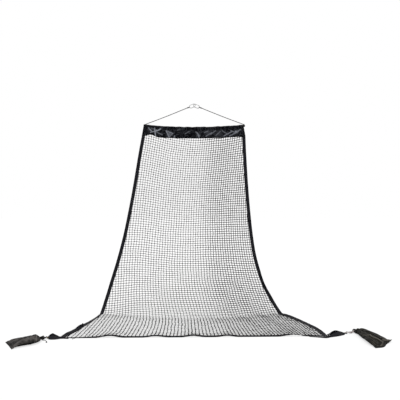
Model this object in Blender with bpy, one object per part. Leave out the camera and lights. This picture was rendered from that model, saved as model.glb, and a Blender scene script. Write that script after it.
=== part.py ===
"""Basketball return net: a netting curtain on a pole, with two sand bags that hold its corners.

Metres, +Z up, +X to the right, -Y to the front. The origin is the point where both hooks hang.
The curtain drops from the pole almost straight, turns on the floor and runs out to the front.
"""

import math

import bmesh
import bpy
from mathutils import Matrix, Vector

# Clearances
GAP = 0.0003
PIN_EASE = 0.0003
SLEEVE_EASE = 0.0005
FLOOR_EASE = 0.0004
OVERRUN = 0.002

# Fineness of routes and small rings
ROUTE_FINENESS = 8
CORD_SIDES = 8
WIRE_SIDES = 4

# The hang: heights and depths of the whole curtain
FLOOR_DROP = 3.046
POLE_DROP = 0.304
POLE_SAG = 0.034
BEND_RADIUS = 0.05
CLOTH_LENGTH = 3.93
HEM_SKEW = 0.045

# The curtain's cut: half widths, and how fast each side spreads down its length
TOP_HALF = 0.75
BOTTOM_HALF = 1.60
STATION_SHARES = (0.0, 0.10, 0.25, 0.40, 0.50, 0.60, 0.70, 0.76, 0.84, 0.92, 1.0)
LEFT_SPREAD_SHARES = (0.0, 0.085, 0.20, 0.335, 0.45, 0.585, 0.71, 0.745, 0.815, 0.88, 0.98)
RIGHT_SPREAD_SHARES = (0.0, 0.018, 0.06, 0.125, 0.20, 0.35, 0.60, 0.745, 0.88, 0.985, 1.02)

# Folds that fall down the curtain: place across, half width and height, as shares
FOLD_HEIGHT = 0.034
FOLD_SHARES = (
    (-0.66, 0.22, 0.30),
    (-0.20, 0.20, 0.35),
    (0.16, 0.17, 0.60),
    (0.42, 0.14, 0.85),
    (0.66, 0.13, 1.00),
    (0.85, 0.10, 0.60),
)
FOLD_DOWN_SHARES = (
    (0.0, 0.0),
    (0.03, 0.20),
    (0.25, 0.75),
    (0.55, 1.0),
    (0.72, 0.45),
    (0.85, 0.15),
    (1.0, 0.0),
)

# Ripples that lift the bottom edge off the floor, in the same way
RIPPLE_HEIGHT = 0.022
RIPPLE_REACH = 0.42
RIPPLE_SHARES = (
    (-0.63, 0.12, 1.00),
    (-0.29, 0.11, 0.70),
    (-0.01, 0.10, 0.75),
    (0.245, 0.10, 0.70),
    (0.74, 0.13, 0.95),
)

# Netting
NET_COLUMNS = 12
NET_ROWS = 16
STRAND_WIDTH = 0.008
CLOTH_THICKNESS = 0.003
BEND_STEPS = (0.32, 0.15, 0.08, 0.04, 0.015, 0.0)

# Fabric edges
SIDE_BAND = 0.050
HEM_BAND = 0.025
TAIL_ROW = 0.060

# Sleeve that holds the pole, with a scallop where the netting pulls its lower edge up
SLEEVE_DROP = 0.156
SLEEVE_SETBACK = 0.0020
SLEEVE_WALL = 0.00135
SLEEVE_ARCS = 6
CROWN_ARCS_BELOW = 1
POCKET_SEAM = 0.040
SKIRT_ROW_SHARES = (1.0, 0.66, 0.33, 0.0)
SCALLOP_RISE = 0.034
SCALLOP_PLACE_SHARE = -0.83
SCALLOP_WIDTH_SHARE = 0.17

# Pole: three tubes, two spigots, two caps
POLE_RADIUS = 0.011
POLE_WALL = 0.002
POLE_INSET = 0.024
POLE_PIECES = 3
POLE_STEPS = 5
POLE_SIDES = 12
SPIGOT_LENGTH = 0.120
SPIGOT_WALL = 0.0015
PLUG_LENGTH = 0.030
NECK_RADIUS = 0.0075
NECK_LENGTH = 0.0182
FLANGE_RADIUS = 0.0115
FLANGE_LENGTH = 0.004

# Hanging cords and their knots
CORD_RADIUS = 0.004
CORD_STEP = 0.0178
CORD_SAG = 0.004
KNOT_RISE = 0.0188
LUMP_RADIUS = 0.0076
LUMP_END_RADIUS = 0.0048
LUMP_ROWS = 4
WINDING_TURNS = 2
WINDING_STEPS = 3
BARREL_LENGTH = 0.030
BARREL_RADIUS = 0.0084
BARREL_WAVE = 0.0011
BARREL_TURNS = 3
BARREL_STEPS = 4
BARREL_ROUNDING = 6
KNOT_SIDES = 10

# Hooks: two snap hooks side by side round the support bar
BAR_RADIUS = 0.008
HOOK_ROD = 0.0045
HOOK_BOW = 0.022
HOOK_STRAIGHT = 0.048
HOOK_SPACING = 0.0065
HOOK_SIDES = 8
BOW_STEPS = 7
GATE_ROD = 0.004
GATE_NOSE = 0.003
GATE_SLANT_DEG = 25.0
HINGE_SETBACK = 0.0064
TONGUE_THICKNESS = 0.003
TONGUE_RADIUS = 0.0034
SLOT_DEPTH = 0.0056
PIN_RADIUS = 0.0012
SPRING_BORE = 0.0024
SPRING_DEPTH = 0.020
SPRING_RADIUS = 0.0016
SPRING_WIRE = 0.00035
SPRING_TURNS = 6
SPRING_STEPS = 7

# Corner tails: webbing from each bottom corner to its eyelet. A route gives places from the
# corner, to the right, to the back and up from the floor, and an eyelet lies at its reach.
TAIL_WIDTH = 0.050
TAIL_END_WIDTH = 0.030
TAIL_THICKNESS = 0.0024
TAIL_STEPS = 36
TAIL_PLATE_SHARE = 0.62
LEFT_TAIL_ROUTE = ((-0.045, 0.025, 0.025), (-0.089, 0.052, 0.030), (-0.123, 0.040, 0.028))
RIGHT_TAIL_ROUTE = ((0.055, 0.058, 0.027), (0.125, 0.093, 0.030), (0.193, 0.105, 0.025))
LEFT_TAIL_ROLL_DEG = (0.0, 55.0, 78.0, 60.0, 0.0)
RIGHT_TAIL_ROLL_DEG = (0.0, -60.0, -76.0, -50.0, 0.0)
LEFT_EYELET_REACH = (-0.133, -0.009)
RIGHT_EYELET_REACH = (0.245, 0.109)
EYELET_LIFT = 0.0150
EYELET_BARREL = 0.0055
EYELET_BORE = 0.0042
EYELET_FLANGE = 0.0085
EYELET_RIM = 0.0008
EYELET_SIDES = 14

# Peg loop at the front edge
PEG_INSET = 0.171
PEG_HALF = 0.018
PEG_REACH = 0.048
PEG_CORD = 0.002
PEG_STEPS = 4
PEG_CORNER_SHARE = 0.22

# Sand bags: length and half width on the floor, height, and the tied neck's reach from its eyelet
BAG_WALL = 0.0016
BAG_SIDES = 20
BAG_FLAT_SHARE = 0.18
NECK_HALF = 0.0120
NECK_REACH = 0.0055
NECK_LIFT = 0.022
MOUTH_HALF = 0.0215
MOUTH_LENGTH = 0.036
MOUTH_ROW_SHARES = (1.0, 0.5)
LEFT_BAG_LENGTH = 0.362
LEFT_BAG_HALF = 0.160
LEFT_BAG_HEIGHT = 0.072
LEFT_NECK_REACH = (-0.066, -0.048)
LEFT_BAG_HEADING_DEG = 219.5
LEFT_BAG_LEAN_SHARE = 0.05
RIGHT_BAG_LENGTH = 0.530
RIGHT_BAG_HALF = 0.174
RIGHT_BAG_HEIGHT = 0.070
RIGHT_NECK_REACH = (0.142, 0.046)
RIGHT_BAG_HEADING_DEG = 286.5
RIGHT_BAG_LEAN_SHARE = -0.46
BAG_ROW_SHARES = (
    (0.08, 0.26, 0.52),
    (0.18, 0.56, 0.82),
    (0.32, 0.82, 1.0),
    (0.50, 0.96, 1.0),
    (0.70, 1.0, 0.86),
    (0.86, 1.0, 0.56),
    (0.955, 0.99, 0.24),
    (1.0, 0.985, 0.10),
)
SHELL_END_SHARE = 0.96
FILL_FIRST_SHARE = 0.17
FILL_LAST_SHARE = 0.90

# Ties: the cord through each eyelet, its stopper under it, and the turns round the bag's neck.
# A route gives places from the eyelet, as a tail's route does from its corner.
TIE_RADIUS = 0.002
TIE_TURNS = 2
TIE_TURN_STEPS = 4
TIE_STEP = 0.009
TIE_LEAD = 0.004
TIE_BEND = 0.009
TIE_RUN_IN = 0.016
STOPPER_PROFILE = ((0.0, 0.0050), (0.0016, 0.0056), (0.0058, 0.0056), (0.0084, 0.0046), (0.0096, 0.0026))
LEFT_TIE_ROUTE = ((-0.017, -0.036, 0.0215), (-0.031, -0.064, 0.0160))
RIGHT_TIE_ROUTE = ((0.028, -0.011, 0.0200), (0.064, 0.006, 0.0100), (0.093, 0.026, 0.0150))

# Finishes: colour, roughness, metallic
BLACK_FABRIC = ((0.012, 0.012, 0.015), 0.42, 0.0)
BLACK_WEBBING = ((0.014, 0.014, 0.016), 0.70, 0.0)
NET_TWINE = ((0.030, 0.030, 0.030), 0.75, 0.0)
BAG_FABRIC = ((0.020, 0.021, 0.024), 0.60, 0.0)
BLACK_CORD = ((0.015, 0.015, 0.015), 0.80, 0.0)
WHITE_CORD = ((0.72, 0.71, 0.68), 0.80, 0.0)
SAND = ((0.42, 0.34, 0.23), 0.95, 0.0)
POLE_STEEL = ((0.35, 0.36, 0.37), 0.35, 1.0)
CAP_PLASTIC = ((0.020, 0.020, 0.022), 0.50, 0.0)
HOOK_STEEL = ((0.62, 0.63, 0.64), 0.28, 1.0)
BRASS = ((0.55, 0.44, 0.20), 0.35, 1.0)

POLE_HALF = TOP_HALF - POLE_INSET
POLE_JOINT = POLE_HALF / POLE_PIECES
FLOOR = -FLOOR_DROP
CLOTH_FLOOR = FLOOR + CLOTH_THICKNESS / 2 + FLOOR_EASE
HANG_HEIGHT = -POLE_DROP - CLOTH_FLOOR
HANG_LENGTH = math.sqrt(HANG_HEIGHT * HANG_HEIGHT + 2 * BEND_RADIUS * HANG_HEIGHT)
TOUCH_Y = -BEND_RADIUS * math.asinh(HANG_LENGTH / BEND_RADIUS)
FLOOR_RUN = CLOTH_LENGTH - HANG_LENGTH


def clear_scene():
    """Takes every object out of the file."""
    for obj in list(bpy.data.objects):
        bpy.data.objects.remove(obj, do_unlink=True)


def principled(name, finish):
    """A plain material with a colour, a roughness and a metallic value."""
    colour, roughness, metallic = finish
    material = bpy.data.materials.new(name)
    material.use_nodes = True
    shader = material.node_tree.nodes["Principled BSDF"]
    shader.inputs["Base Color"].default_value = (*colour, 1.0)
    shader.inputs["Roughness"].default_value = roughness
    shader.inputs["Metallic"].default_value = metallic
    return material


def add_object(name, data, finish, origin=None):
    """Links a mesh or curve as a named object, with its origin where the piece turns."""
    obj = bpy.data.objects.new(name, data)
    bpy.context.scene.collection.objects.link(obj)
    data.materials.append(principled(name, finish))
    if origin is not None:
        data.transform(Matrix.Translation(-Vector(origin)))
        obj.location = origin
    return obj


def mesh_from(name, points, faces, smooth_deg=35.0):
    """A closed mesh with its faces pointing out."""
    mesh = bpy.data.meshes.new(name)
    mesh.from_pydata([tuple(p) for p in points], [], faces)
    shaped = bmesh.new()
    shaped.from_mesh(mesh)
    bmesh.ops.recalc_face_normals(shaped, faces=shaped.faces)
    shaped.to_mesh(mesh)
    shaped.free()
    mesh.shade_smooth()
    mesh.set_sharp_from_angle(angle=math.radians(smooth_deg))
    return mesh


def loft(name, rings, closed=False, turned_strips=0, smooth_deg=35.0):
    """A skin over rings of equal count: capped at both ends, or joined end to end.

    The first turned_strips strips are split along their other diagonal, so that a wall's inner
    face, which runs back the other way, is faceted as its outer face is.
    """
    count = len(rings[0])
    points = [p for ring in rings for p in ring]
    faces = []
    last = len(rings) if closed else len(rings) - 1
    for i in range(last):
        low = i * count
        high = ((i + 1) % len(rings)) * count
        for k in range(count):
            following = (k + 1) % count
            if i < turned_strips:
                faces.append((low + k, low + following, high + k))
                faces.append((low + following, high + following, high + k))
            else:
                faces.append((low + k, low + following, high + following))
                faces.append((low + k, high + following, high + k))
    if not closed:
        faces.append(tuple(reversed(range(count))))
        faces.append(tuple(range((len(rings) - 1) * count, len(rings) * count)))
    return mesh_from(name, points, faces, smooth_deg)


def circle(centre, side, up, radius, sides):
    """A ring of points round a centre, in the plane of two unit vectors."""
    ring = []
    for k in range(sides):
        turn = 2 * math.pi * (k + 0.5) / sides
        ring.append(centre + side * (radius * math.cos(turn)) + up * (radius * math.sin(turn)))
    return ring


def interpolate(shares, value):
    """Reads a smooth curve through pairs of (place, value)."""
    places = [pair[0] for pair in shares]
    heights = [pair[1] for pair in shares]
    if value <= places[0]:
        return heights[0]
    if value >= places[-1]:
        return heights[-1]
    i = max(k for k in range(len(places) - 1) if places[k] <= value)
    width = places[i + 1] - places[i]

    def slope(k):
        if k in (0, len(places) - 1):
            near = min(max(k, 1), len(places) - 1)
            return (heights[near] - heights[near - 1]) / (places[near] - places[near - 1])
        return (heights[k + 1] - heights[k - 1]) / (places[k + 1] - places[k - 1])

    t = (value - places[i]) / width
    start = heights[i] * (1 + 2 * t) * (1 - t) ** 2 + slope(i) * width * t * (1 - t) ** 2
    end = heights[i + 1] * t * t * (3 - 2 * t) + slope(i + 1) * width * t * t * (t - 1)
    return start + end


def smooth_route(knots, count):
    """Points on one smooth curve through chosen points, evenly spaced along it."""
    knots = [Vector(k) for k in knots]
    lengths = [0.0]
    for a, b in zip(knots, knots[1:]):
        lengths.append(lengths[-1] + (b - a).length)
    fine = []
    courses = [[(length, knot[axis]) for length, knot in zip(lengths, knots)] for axis in range(3)]
    steps = count * ROUTE_FINENESS
    for i in range(steps + 1):
        place = lengths[-1] * i / steps
        fine.append(Vector([interpolate(course, place) for course in courses]))
    travelled = [0.0]
    for a, b in zip(fine, fine[1:]):
        travelled.append(travelled[-1] + (b - a).length)
    route = []
    j = 0
    for i in range(count + 1):
        target = travelled[-1] * i / count
        while j < len(travelled) - 2 and travelled[j + 1] < target:
            j += 1
        span = travelled[j + 1] - travelled[j]
        route.append(fine[j].lerp(fine[j + 1], (target - travelled[j]) / span))
    return route


def cord_curve(name, route, radius, finish):
    """A round cord along its route, with flat filled ends."""
    curve = bpy.data.curves.new(name, "CURVE")
    curve.dimensions = "3D"
    curve.bevel_depth = radius
    curve.bevel_resolution = 2
    curve.use_fill_caps = True
    spline = curve.splines.new("POLY")
    spline.points.add(len(route) - 1)
    for point, place in zip(spline.points, route):
        point.co = (*place, 1.0)
    return add_object(name, curve, finish)


# The curtain's surface


def bump(place, shares):
    """The height at a place across of a row of rounded folds."""
    total = 0.0
    for centre, half, height in shares:
        reach = abs(place - centre) / half
        if reach < 1.0:
            total += height * (0.5 + 0.5 * math.cos(math.pi * reach))
    return total


def edges(down):
    """The left and right edge of the curtain at a distance down its length."""
    share = down / CLOTH_LENGTH
    spread = BOTTOM_HALF - TOP_HALF
    left = interpolate(list(zip(STATION_SHARES, LEFT_SPREAD_SHARES)), share)
    right = interpolate(list(zip(STATION_SHARES, RIGHT_SPREAD_SHARES)), share)
    return -TOP_HALF - spread * left, TOP_HALF + spread * right


def across_share(x, down):
    """Where x lies across the curtain, from -1 at its left edge to 1 at its right."""
    left, right = edges(down)
    return (2 * x - left - right) / (right - left)


def lift(x, down):
    """How far the folds and ripples carry the cloth to its front or upper side."""
    across = across_share(x, down)
    folds = FOLD_HEIGHT * bump(across, FOLD_SHARES) * interpolate(FOLD_DOWN_SHARES, down / CLOTH_LENGTH)
    from_hem = (CLOTH_LENGTH - down) / RIPPLE_REACH
    fade = max(0.0, 1.0 - from_hem) ** 2
    return folds + RIPPLE_HEIGHT * bump(across, RIPPLE_SHARES) * fade


def drape(x, down, out=0.0):
    """A point of the curtain: x across, a distance down its length, and out to the front."""
    along = HANG_LENGTH - down
    if along > 0.0:
        reach = math.sqrt(BEND_RADIUS * BEND_RADIUS + along * along)
        height = reach - BEND_RADIUS
        y = TOUCH_Y + BEND_RADIUS * math.asinh(along / BEND_RADIUS)
        slope = math.atan2(along, BEND_RADIUS)
    else:
        height = 0.0
        y = TOUCH_Y + along
        slope = 0.0
    across = across_share(x, down)
    sag = -POLE_SAG * (1.0 - across * across) * height / HANG_HEIGHT
    skew = HEM_SKEW * across * max(0.0, -along) / FLOOR_RUN
    out += lift(x, down)
    z = CLOTH_FLOOR + height + sag + out * math.cos(slope)
    return Vector((x, y + skew - out * math.sin(slope), z))


def sleeve_hem(x):
    """How far down the sleeve's lower edge lies at x."""
    across = across_share(x, SLEEVE_DROP)
    return SLEEVE_DROP - SCALLOP_RISE * bump(across, ((SCALLOP_PLACE_SHARE, SCALLOP_WIDTH_SHARE, 1.0),))


def net_columns():
    """Shares across the netting of each strand's two sides, as (share, offset) pairs."""
    pairs = []
    for k in range(NET_COLUMNS + 1):
        share = k / NET_COLUMNS
        if k == 0:
            pairs += [(share, 0.0), (share, STRAND_WIDTH)]
        elif k == NET_COLUMNS:
            pairs += [(share, -STRAND_WIDTH), (share, 0.0)]
        else:
            pairs += [(share, -STRAND_WIDTH / 2), (share, STRAND_WIDTH / 2)]
    return pairs


def net_x(pair, down):
    """The x of one side of a strand at a distance down the netting."""
    left, right = edges(down)
    low = left + SIDE_BAND + GAP
    high = right - SIDE_BAND - GAP
    return low + (high - low) * pair[0] + pair[1]


def net_rows():
    """Distances down the netting: each cross strand's two sides, and the turn on the floor."""
    top = SLEEVE_DROP + GAP
    bottom = CLOTH_LENGTH - HEM_BAND - GAP
    pitch = (bottom - top - STRAND_WIDTH) / NET_ROWS
    rows = []
    for k in range(NET_ROWS + 1):
        rows += [(top + k * pitch, True), (top + k * pitch + STRAND_WIDTH, False)]
    for step in BEND_STEPS:
        place = HANG_LENGTH - step
        free = all(abs(place - row[0]) > STRAND_WIDTH for row in rows)
        if free:
            rows.append((place, False))
    return sorted(rows)


def sheet_solid(name, place, columns, rows, filled, finish):
    """A cloth or a net of even thickness over a grid, open wherever a cell isn't filled."""
    points = []
    numbers = {}
    faces = []

    def corner(i, j, front):
        key = (i, j, front)
        if key not in numbers:
            numbers[key] = len(points)
            out = CLOTH_THICKNESS / 2 if front else -CLOTH_THICKNESS / 2
            points.append(place(i, j, out))
        return numbers[key]

    def is_filled(i, j):
        return 0 <= i < rows - 1 and 0 <= j < columns - 1 and filled(i, j)

    for i in range(rows - 1):
        for j in range(columns - 1):
            if not filled(i, j):
                continue
            ring = ((i, j), (i, j + 1), (i + 1, j + 1), (i + 1, j))
            faces.append(tuple(corner(*spot, True) for spot in ring))
            faces.append(tuple(corner(*spot, False) for spot in reversed(ring)))
            beyond = ((i - 1, j), (i, j + 1), (i + 1, j), (i, j - 1))
            for side, other in enumerate(beyond):
                if not is_filled(*other):
                    a = ring[side]
                    b = ring[(side + 1) % 4]
                    front = (corner(*b, True), corner(*a, True))
                    faces.append((*front, corner(*a, False), corner(*b, False)))
    return add_object(name, mesh_from(name, points, faces), finish)


def make_netting():
    """The netting, from the sleeve's lower edge to the bottom binding."""
    columns = net_columns()
    rows = net_rows()

    def place(i, j, out):
        down = rows[i][0]
        x = net_x(columns[j], down)
        if i == 0:
            down = sleeve_hem(x) + GAP
        return drape(x, down, out)

    def filled(i, j):
        return rows[i][1] or j % 2 == 0

    sheet_solid("netting", place, len(columns), len(rows), filled, NET_TWINE)


def make_side_binding(name, right_side):
    """The wide tape down one side of the netting."""
    rows = [row[0] for row in net_rows() if row[0] < CLOTH_LENGTH - TAIL_ROW]
    rows += [CLOTH_LENGTH - TAIL_ROW, CLOTH_LENGTH]
    rows[0] = SLEEVE_DROP + GAP

    def place(i, j, out):
        left, right = edges(rows[i])
        if right_side:
            x = (right - SIDE_BAND, right)[j]
        else:
            x = (left, left + SIDE_BAND)[j]
        down = sleeve_hem(x) + GAP if i == 0 else rows[i]
        return drape(x, down, out)

    sheet_solid(name, place, 2, len(rows), lambda i, j: True, BLACK_WEBBING)


def make_bottom_binding():
    """The narrow tape along the front edge."""
    columns = net_columns()
    rows = (CLOTH_LENGTH - HEM_BAND, CLOTH_LENGTH)

    def place(i, j, out):
        return drape(net_x(columns[j], rows[i]), rows[i], out)

    sheet_solid("bottom_binding", place, len(columns), 2, lambda i, j: True, BLACK_WEBBING)


def pole_point(x):
    """The pole's axis at x: it bows down between its ends."""
    share = x / TOP_HALF
    return Vector((x, 0.0, -POLE_DROP - POLE_SAG * (1.0 - share * share)))


def pole_tangent(x):
    """The unit direction of the pole's axis at x."""
    slope = 2 * POLE_SAG * x / (TOP_HALF * TOP_HALF)
    return Vector((1.0, 0.0, slope)).normalized()


def pole_ring(x, radius, sides=POLE_SIDES):
    """A ring of points round the pole's axis."""
    tangent = pole_tangent(x)
    side = Vector((0.0, 1.0, 0.0))
    return circle(pole_point(x), side, tangent.cross(side), radius, sides)


def make_tube(name, start, end, outer, inner, finish):
    """A hollow length of the bowed pole."""
    places = [start + (end - start) * k / POLE_STEPS for k in range(POLE_STEPS + 1)]
    rings = [pole_ring(x, outer) for x in places]
    rings += [pole_ring(x, inner) for x in reversed(places)]
    add_object(name, loft(name, rings, closed=True), finish)


def make_pole():
    """Three tubes and the spigot inside each of their two joints."""
    bore = POLE_RADIUS - POLE_WALL
    half_gap = GAP / 2
    make_tube("pole_left_tube", -POLE_HALF, -POLE_JOINT - half_gap, POLE_RADIUS, bore, POLE_STEEL)
    joint = POLE_JOINT - half_gap
    make_tube("pole_middle_tube", -joint, joint, POLE_RADIUS, bore, POLE_STEEL)
    make_tube("pole_right_tube", POLE_JOINT + half_gap, POLE_HALF, POLE_RADIUS, bore, POLE_STEEL)
    spigot = bore - PIN_EASE
    for name, middle in (("left_spigot", -POLE_JOINT), ("right_spigot", POLE_JOINT)):
        start = middle - SPIGOT_LENGTH / 2
        end = middle + SPIGOT_LENGTH / 2
        make_tube(name, start, end, spigot, spigot - SPIGOT_WALL, POLE_STEEL)


def make_end_cap(name, side):
    """A turned cap: a plug in the tube, a neck for the cord and a flange."""
    end = pole_point(side * POLE_HALF)
    out = pole_tangent(side * POLE_HALF) * side
    across = Vector((0.0, 1.0, 0.0))
    up = out.cross(across)
    plug = POLE_RADIUS - POLE_WALL - PIN_EASE
    neck_end = GAP + NECK_LENGTH
    profile = (
        (-PLUG_LENGTH, plug),
        (GAP, plug),
        (GAP, NECK_RADIUS),
        (neck_end, NECK_RADIUS),
        (neck_end, FLANGE_RADIUS),
        (neck_end + FLANGE_LENGTH, FLANGE_RADIUS),
    )
    rings = [circle(end + out * place, across, up, radius, POLE_SIDES) for place, radius in profile]
    add_object(name, loft(name, rings), CAP_PLASTIC)


def make_sleeve():
    """Fabric folded over the pole, stitched under it, with both layers hanging below."""
    pairs = net_columns()
    stations = [edges(SLEEVE_DROP)[0]]
    stations += [net_x(pair, SLEEVE_DROP) for pair in pairs]
    stations.append(edges(SLEEVE_DROP)[1])
    step = math.pi / SLEEVE_ARCS
    inner_radius = (POLE_RADIUS + SLEEVE_EASE) / math.cos(step / 2)
    outer_radius = inner_radius + SLEEVE_WALL
    slit = GAP / 2
    face = slit + SLEEVE_WALL

    def x_at(bottom_x, down):
        half = stations[-1] if bottom_x > 0 else -stations[0]
        share = down / sleeve_hem(bottom_x)
        top = bottom_x * (POLE_HALF - SLEEVE_SETBACK) / half
        return top + (bottom_x - top) * share

    def side_points(bottom_x, front, out):
        sign = 1.0 if front else -1.0
        run = []
        for share in SKIRT_ROW_SHARES:
            down = POCKET_SEAM + (sleeve_hem(bottom_x) - POCKET_SEAM) * share
            run.append(drape(x_at(bottom_x, down), down, sign * out))
        return run

    def crown_points(bottom_x, radius):
        x = x_at(bottom_x, 0.0)
        centre = pole_point(x)
        run = []
        for k in range(-CROWN_ARCS_BELOW, SLEEVE_ARCS + CROWN_ARCS_BELOW + 1):
            turn = k * step
            run.append(centre + Vector((0.0, -radius * math.cos(turn), radius * math.sin(turn))))
        return run

    rings = []
    for bottom_x in stations:
        ring = side_points(bottom_x, True, face)
        ring += crown_points(bottom_x, outer_radius)
        ring += list(reversed(side_points(bottom_x, False, face)))
        ring += side_points(bottom_x, False, slit)
        ring += list(reversed(crown_points(bottom_x, inner_radius)))
        ring += list(reversed(side_points(bottom_x, True, slit)))
        rings.append(ring)
    count = len(rings[0])
    half = count // 2
    points = [p for ring in rings for p in ring]
    faces = []
    for i in range(len(rings) - 1):
        for k in range(count):
            following = (k + 1) % count
            low = i * count
            high = low + count
            faces.append((low + k, low + following, high + following, high + k))
    for first in (0, (len(rings) - 1) * count):
        for k in range(half - 1):
            inner = count - 1 - k
            faces.append((first + k, first + k + 1, first + inner - 1, first + inner))
    add_object("top_sleeve", mesh_from("top_sleeve", points, faces), BLACK_FABRIC)


# Hooks


class HookFrame:
    """Places a hook's own plane: along it to the knot, across it to the gate, and through it."""

    def __init__(self, side):
        knot = pole_knot_top(side)
        self.side = side
        self.centre = Vector((0.0, side * HOOK_SPACING, 0.0))
        aim = Vector((knot.x, 0.0, knot.z)).normalized()
        self.along = aim
        self.across = Vector((-aim.z * side, 0.0, aim.x * side))
        self.through = Vector((0.0, 1.0, 0.0))

    def point(self, along, across, through=0.0):
        """A point of the hook's plane in the part's frame."""
        return self.centre + self.along * along + self.across * across + self.through * through

    def matrix(self, along, across):
        """Turns a shape built along X, Y and Z to the hook's along, through and across."""
        columns = (self.along, self.through, self.across)
        turn = Matrix([[column[row] for column in columns] for row in range(3)]).to_4x4()
        return Matrix.Translation(self.point(along, across)) @ turn


BOW_START = HOOK_BOW - HOOK_ROD - BAR_RADIUS - GAP
BOW_END = BOW_START + HOOK_STRAIGHT
HINGE_PLACE = BOW_END - HINGE_SETBACK
TIP_PLACE = BOW_START + GATE_NOSE
KNOT_RING = HOOK_ROD + GAP + CORD_RADIUS
BARREL_START = BOW_END + HOOK_BOW + KNOT_RING
BARREL_END = BARREL_START + BARREL_LENGTH
LUMP_HALF = NECK_LENGTH / 2 - GAP


def pole_knot_top(side):
    """Where a hanging cord leaves the knot on the pole's end."""
    end = side * (POLE_HALF + GAP + NECK_LENGTH / 2)
    return pole_point(end) + Vector((0.0, 0.0, KNOT_RISE))


def cylinder(name, radius, start, end, sides, axis="X"):
    """A capped cylinder along one axis, from start to end."""
    directions = {
        "X": (Vector((1, 0, 0)), Vector((0, 1, 0)), Vector((0, 0, 1))),
        "Y": (Vector((0, 1, 0)), Vector((0, 0, 1)), Vector((1, 0, 0))),
        "Z": (Vector((0, 0, 1)), Vector((1, 0, 0)), Vector((0, 1, 0))),
    }
    along, side, up = directions[axis]
    rings = [circle(along * place, side, up, radius, sides) for place in (start, end)]
    return loft(name, rings)


def placed(mesh, matrix):
    """Moves a mesh by a matrix, and keeps its faces pointing out when the matrix mirrors."""
    mesh.transform(matrix)
    if matrix.determinant() < 0.0:
        mesh.flip_normals()
    return mesh


def box(name, low, high):
    """A box between two corners."""
    shaped = bmesh.new()
    bmesh.ops.create_cube(shaped, size=1.0)
    size = Vector(high) - Vector(low)
    bmesh.ops.scale(shaped, vec=size, verts=shaped.verts)
    bmesh.ops.translate(shaped, vec=(Vector(high) + Vector(low)) / 2, verts=shaped.verts)
    mesh = bpy.data.meshes.new(name)
    shaped.to_mesh(mesh)
    shaped.free()
    return mesh


def combine(obj, tool_mesh, operation):
    """Joins a helper solid to a piece, or cuts it out of it."""
    tool = bpy.data.objects.new(obj.name + "_" + operation.lower(), tool_mesh)
    bpy.context.scene.collection.objects.link(tool)
    tool.hide_render = True
    tool.display_type = "WIRE"
    modifier = obj.modifiers.new(operation.title(), "BOOLEAN")
    modifier.operation = operation
    modifier.object = tool
    modifier.solver = "EXACT"
    bpy.context.view_layer.update()
    evaluated = obj.evaluated_get(bpy.context.evaluated_depsgraph_get())
    merged = bpy.data.meshes.new_from_object(evaluated)
    obj.modifiers.clear()
    obj.data = merged
    bpy.data.objects.remove(tool)


def make_hook_body(name, frame):
    """The bent rod of a hook, from the gate's nose round to the hinge tongue."""
    route = [frame.point(TIP_PLACE + HOOK_ROD, HOOK_BOW)]
    for k in range(BOW_STEPS + 1):
        turn = math.pi / 2 + math.pi * k / BOW_STEPS
        route.append(frame.point(BOW_START + HOOK_BOW * math.cos(turn), HOOK_BOW * math.sin(turn)))
    for k in range(BOW_STEPS + 1):
        turn = -math.pi / 2 + math.pi * k / BOW_STEPS
        route.append(frame.point(BOW_END + HOOK_BOW * math.cos(turn), HOOK_BOW * math.sin(turn)))
    rings = []
    for i, place in enumerate(route):
        before = route[max(0, i - 1)]
        after = route[min(len(route) - 1, i + 1)]
        tangent = (after - before).normalized()
        if i == len(route) - 1:
            tangent = -frame.along
        if i == 0:
            tangent = -frame.along
        rings.append(circle(place, frame.through, tangent.cross(frame.through), HOOK_ROD, HOOK_SIDES))
    obj = add_object(name, loft(name, rings), HOOK_STEEL)
    half_tongue = TONGUE_THICKNESS / 2
    plate_low = (0.0, -half_tongue, -TONGUE_RADIUS)
    plate_high = (HINGE_SETBACK + HOOK_ROD, half_tongue, TONGUE_RADIUS)
    plate = box(name + "_plate", plate_low, plate_high)
    placed(plate, frame.matrix(HINGE_PLACE, HOOK_BOW))
    combine(obj, plate, "UNION")
    knuckle = cylinder(name + "_knuckle", TONGUE_RADIUS, -half_tongue, half_tongue, EYELET_SIDES, "Y")
    placed(knuckle, frame.matrix(HINGE_PLACE, HOOK_BOW))
    combine(obj, knuckle, "UNION")
    hole = cylinder(name + "_hole", PIN_RADIUS + PIN_EASE, -HOOK_ROD, HOOK_ROD, EYELET_SIDES, "Y")
    placed(hole, frame.matrix(HINGE_PLACE, HOOK_BOW))
    combine(obj, hole, "DIFFERENCE")
    reach = HOOK_BOW / 2
    slant = Matrix.Rotation(math.radians(GATE_SLANT_DEG), 4, "Y")
    cut = box(name + "_cut", (0.0, -reach, -reach), (reach, reach, reach))
    placed(cut, frame.matrix(TIP_PLACE - GAP, HOOK_BOW) @ slant)
    combine(obj, cut, "DIFFERENCE")


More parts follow.
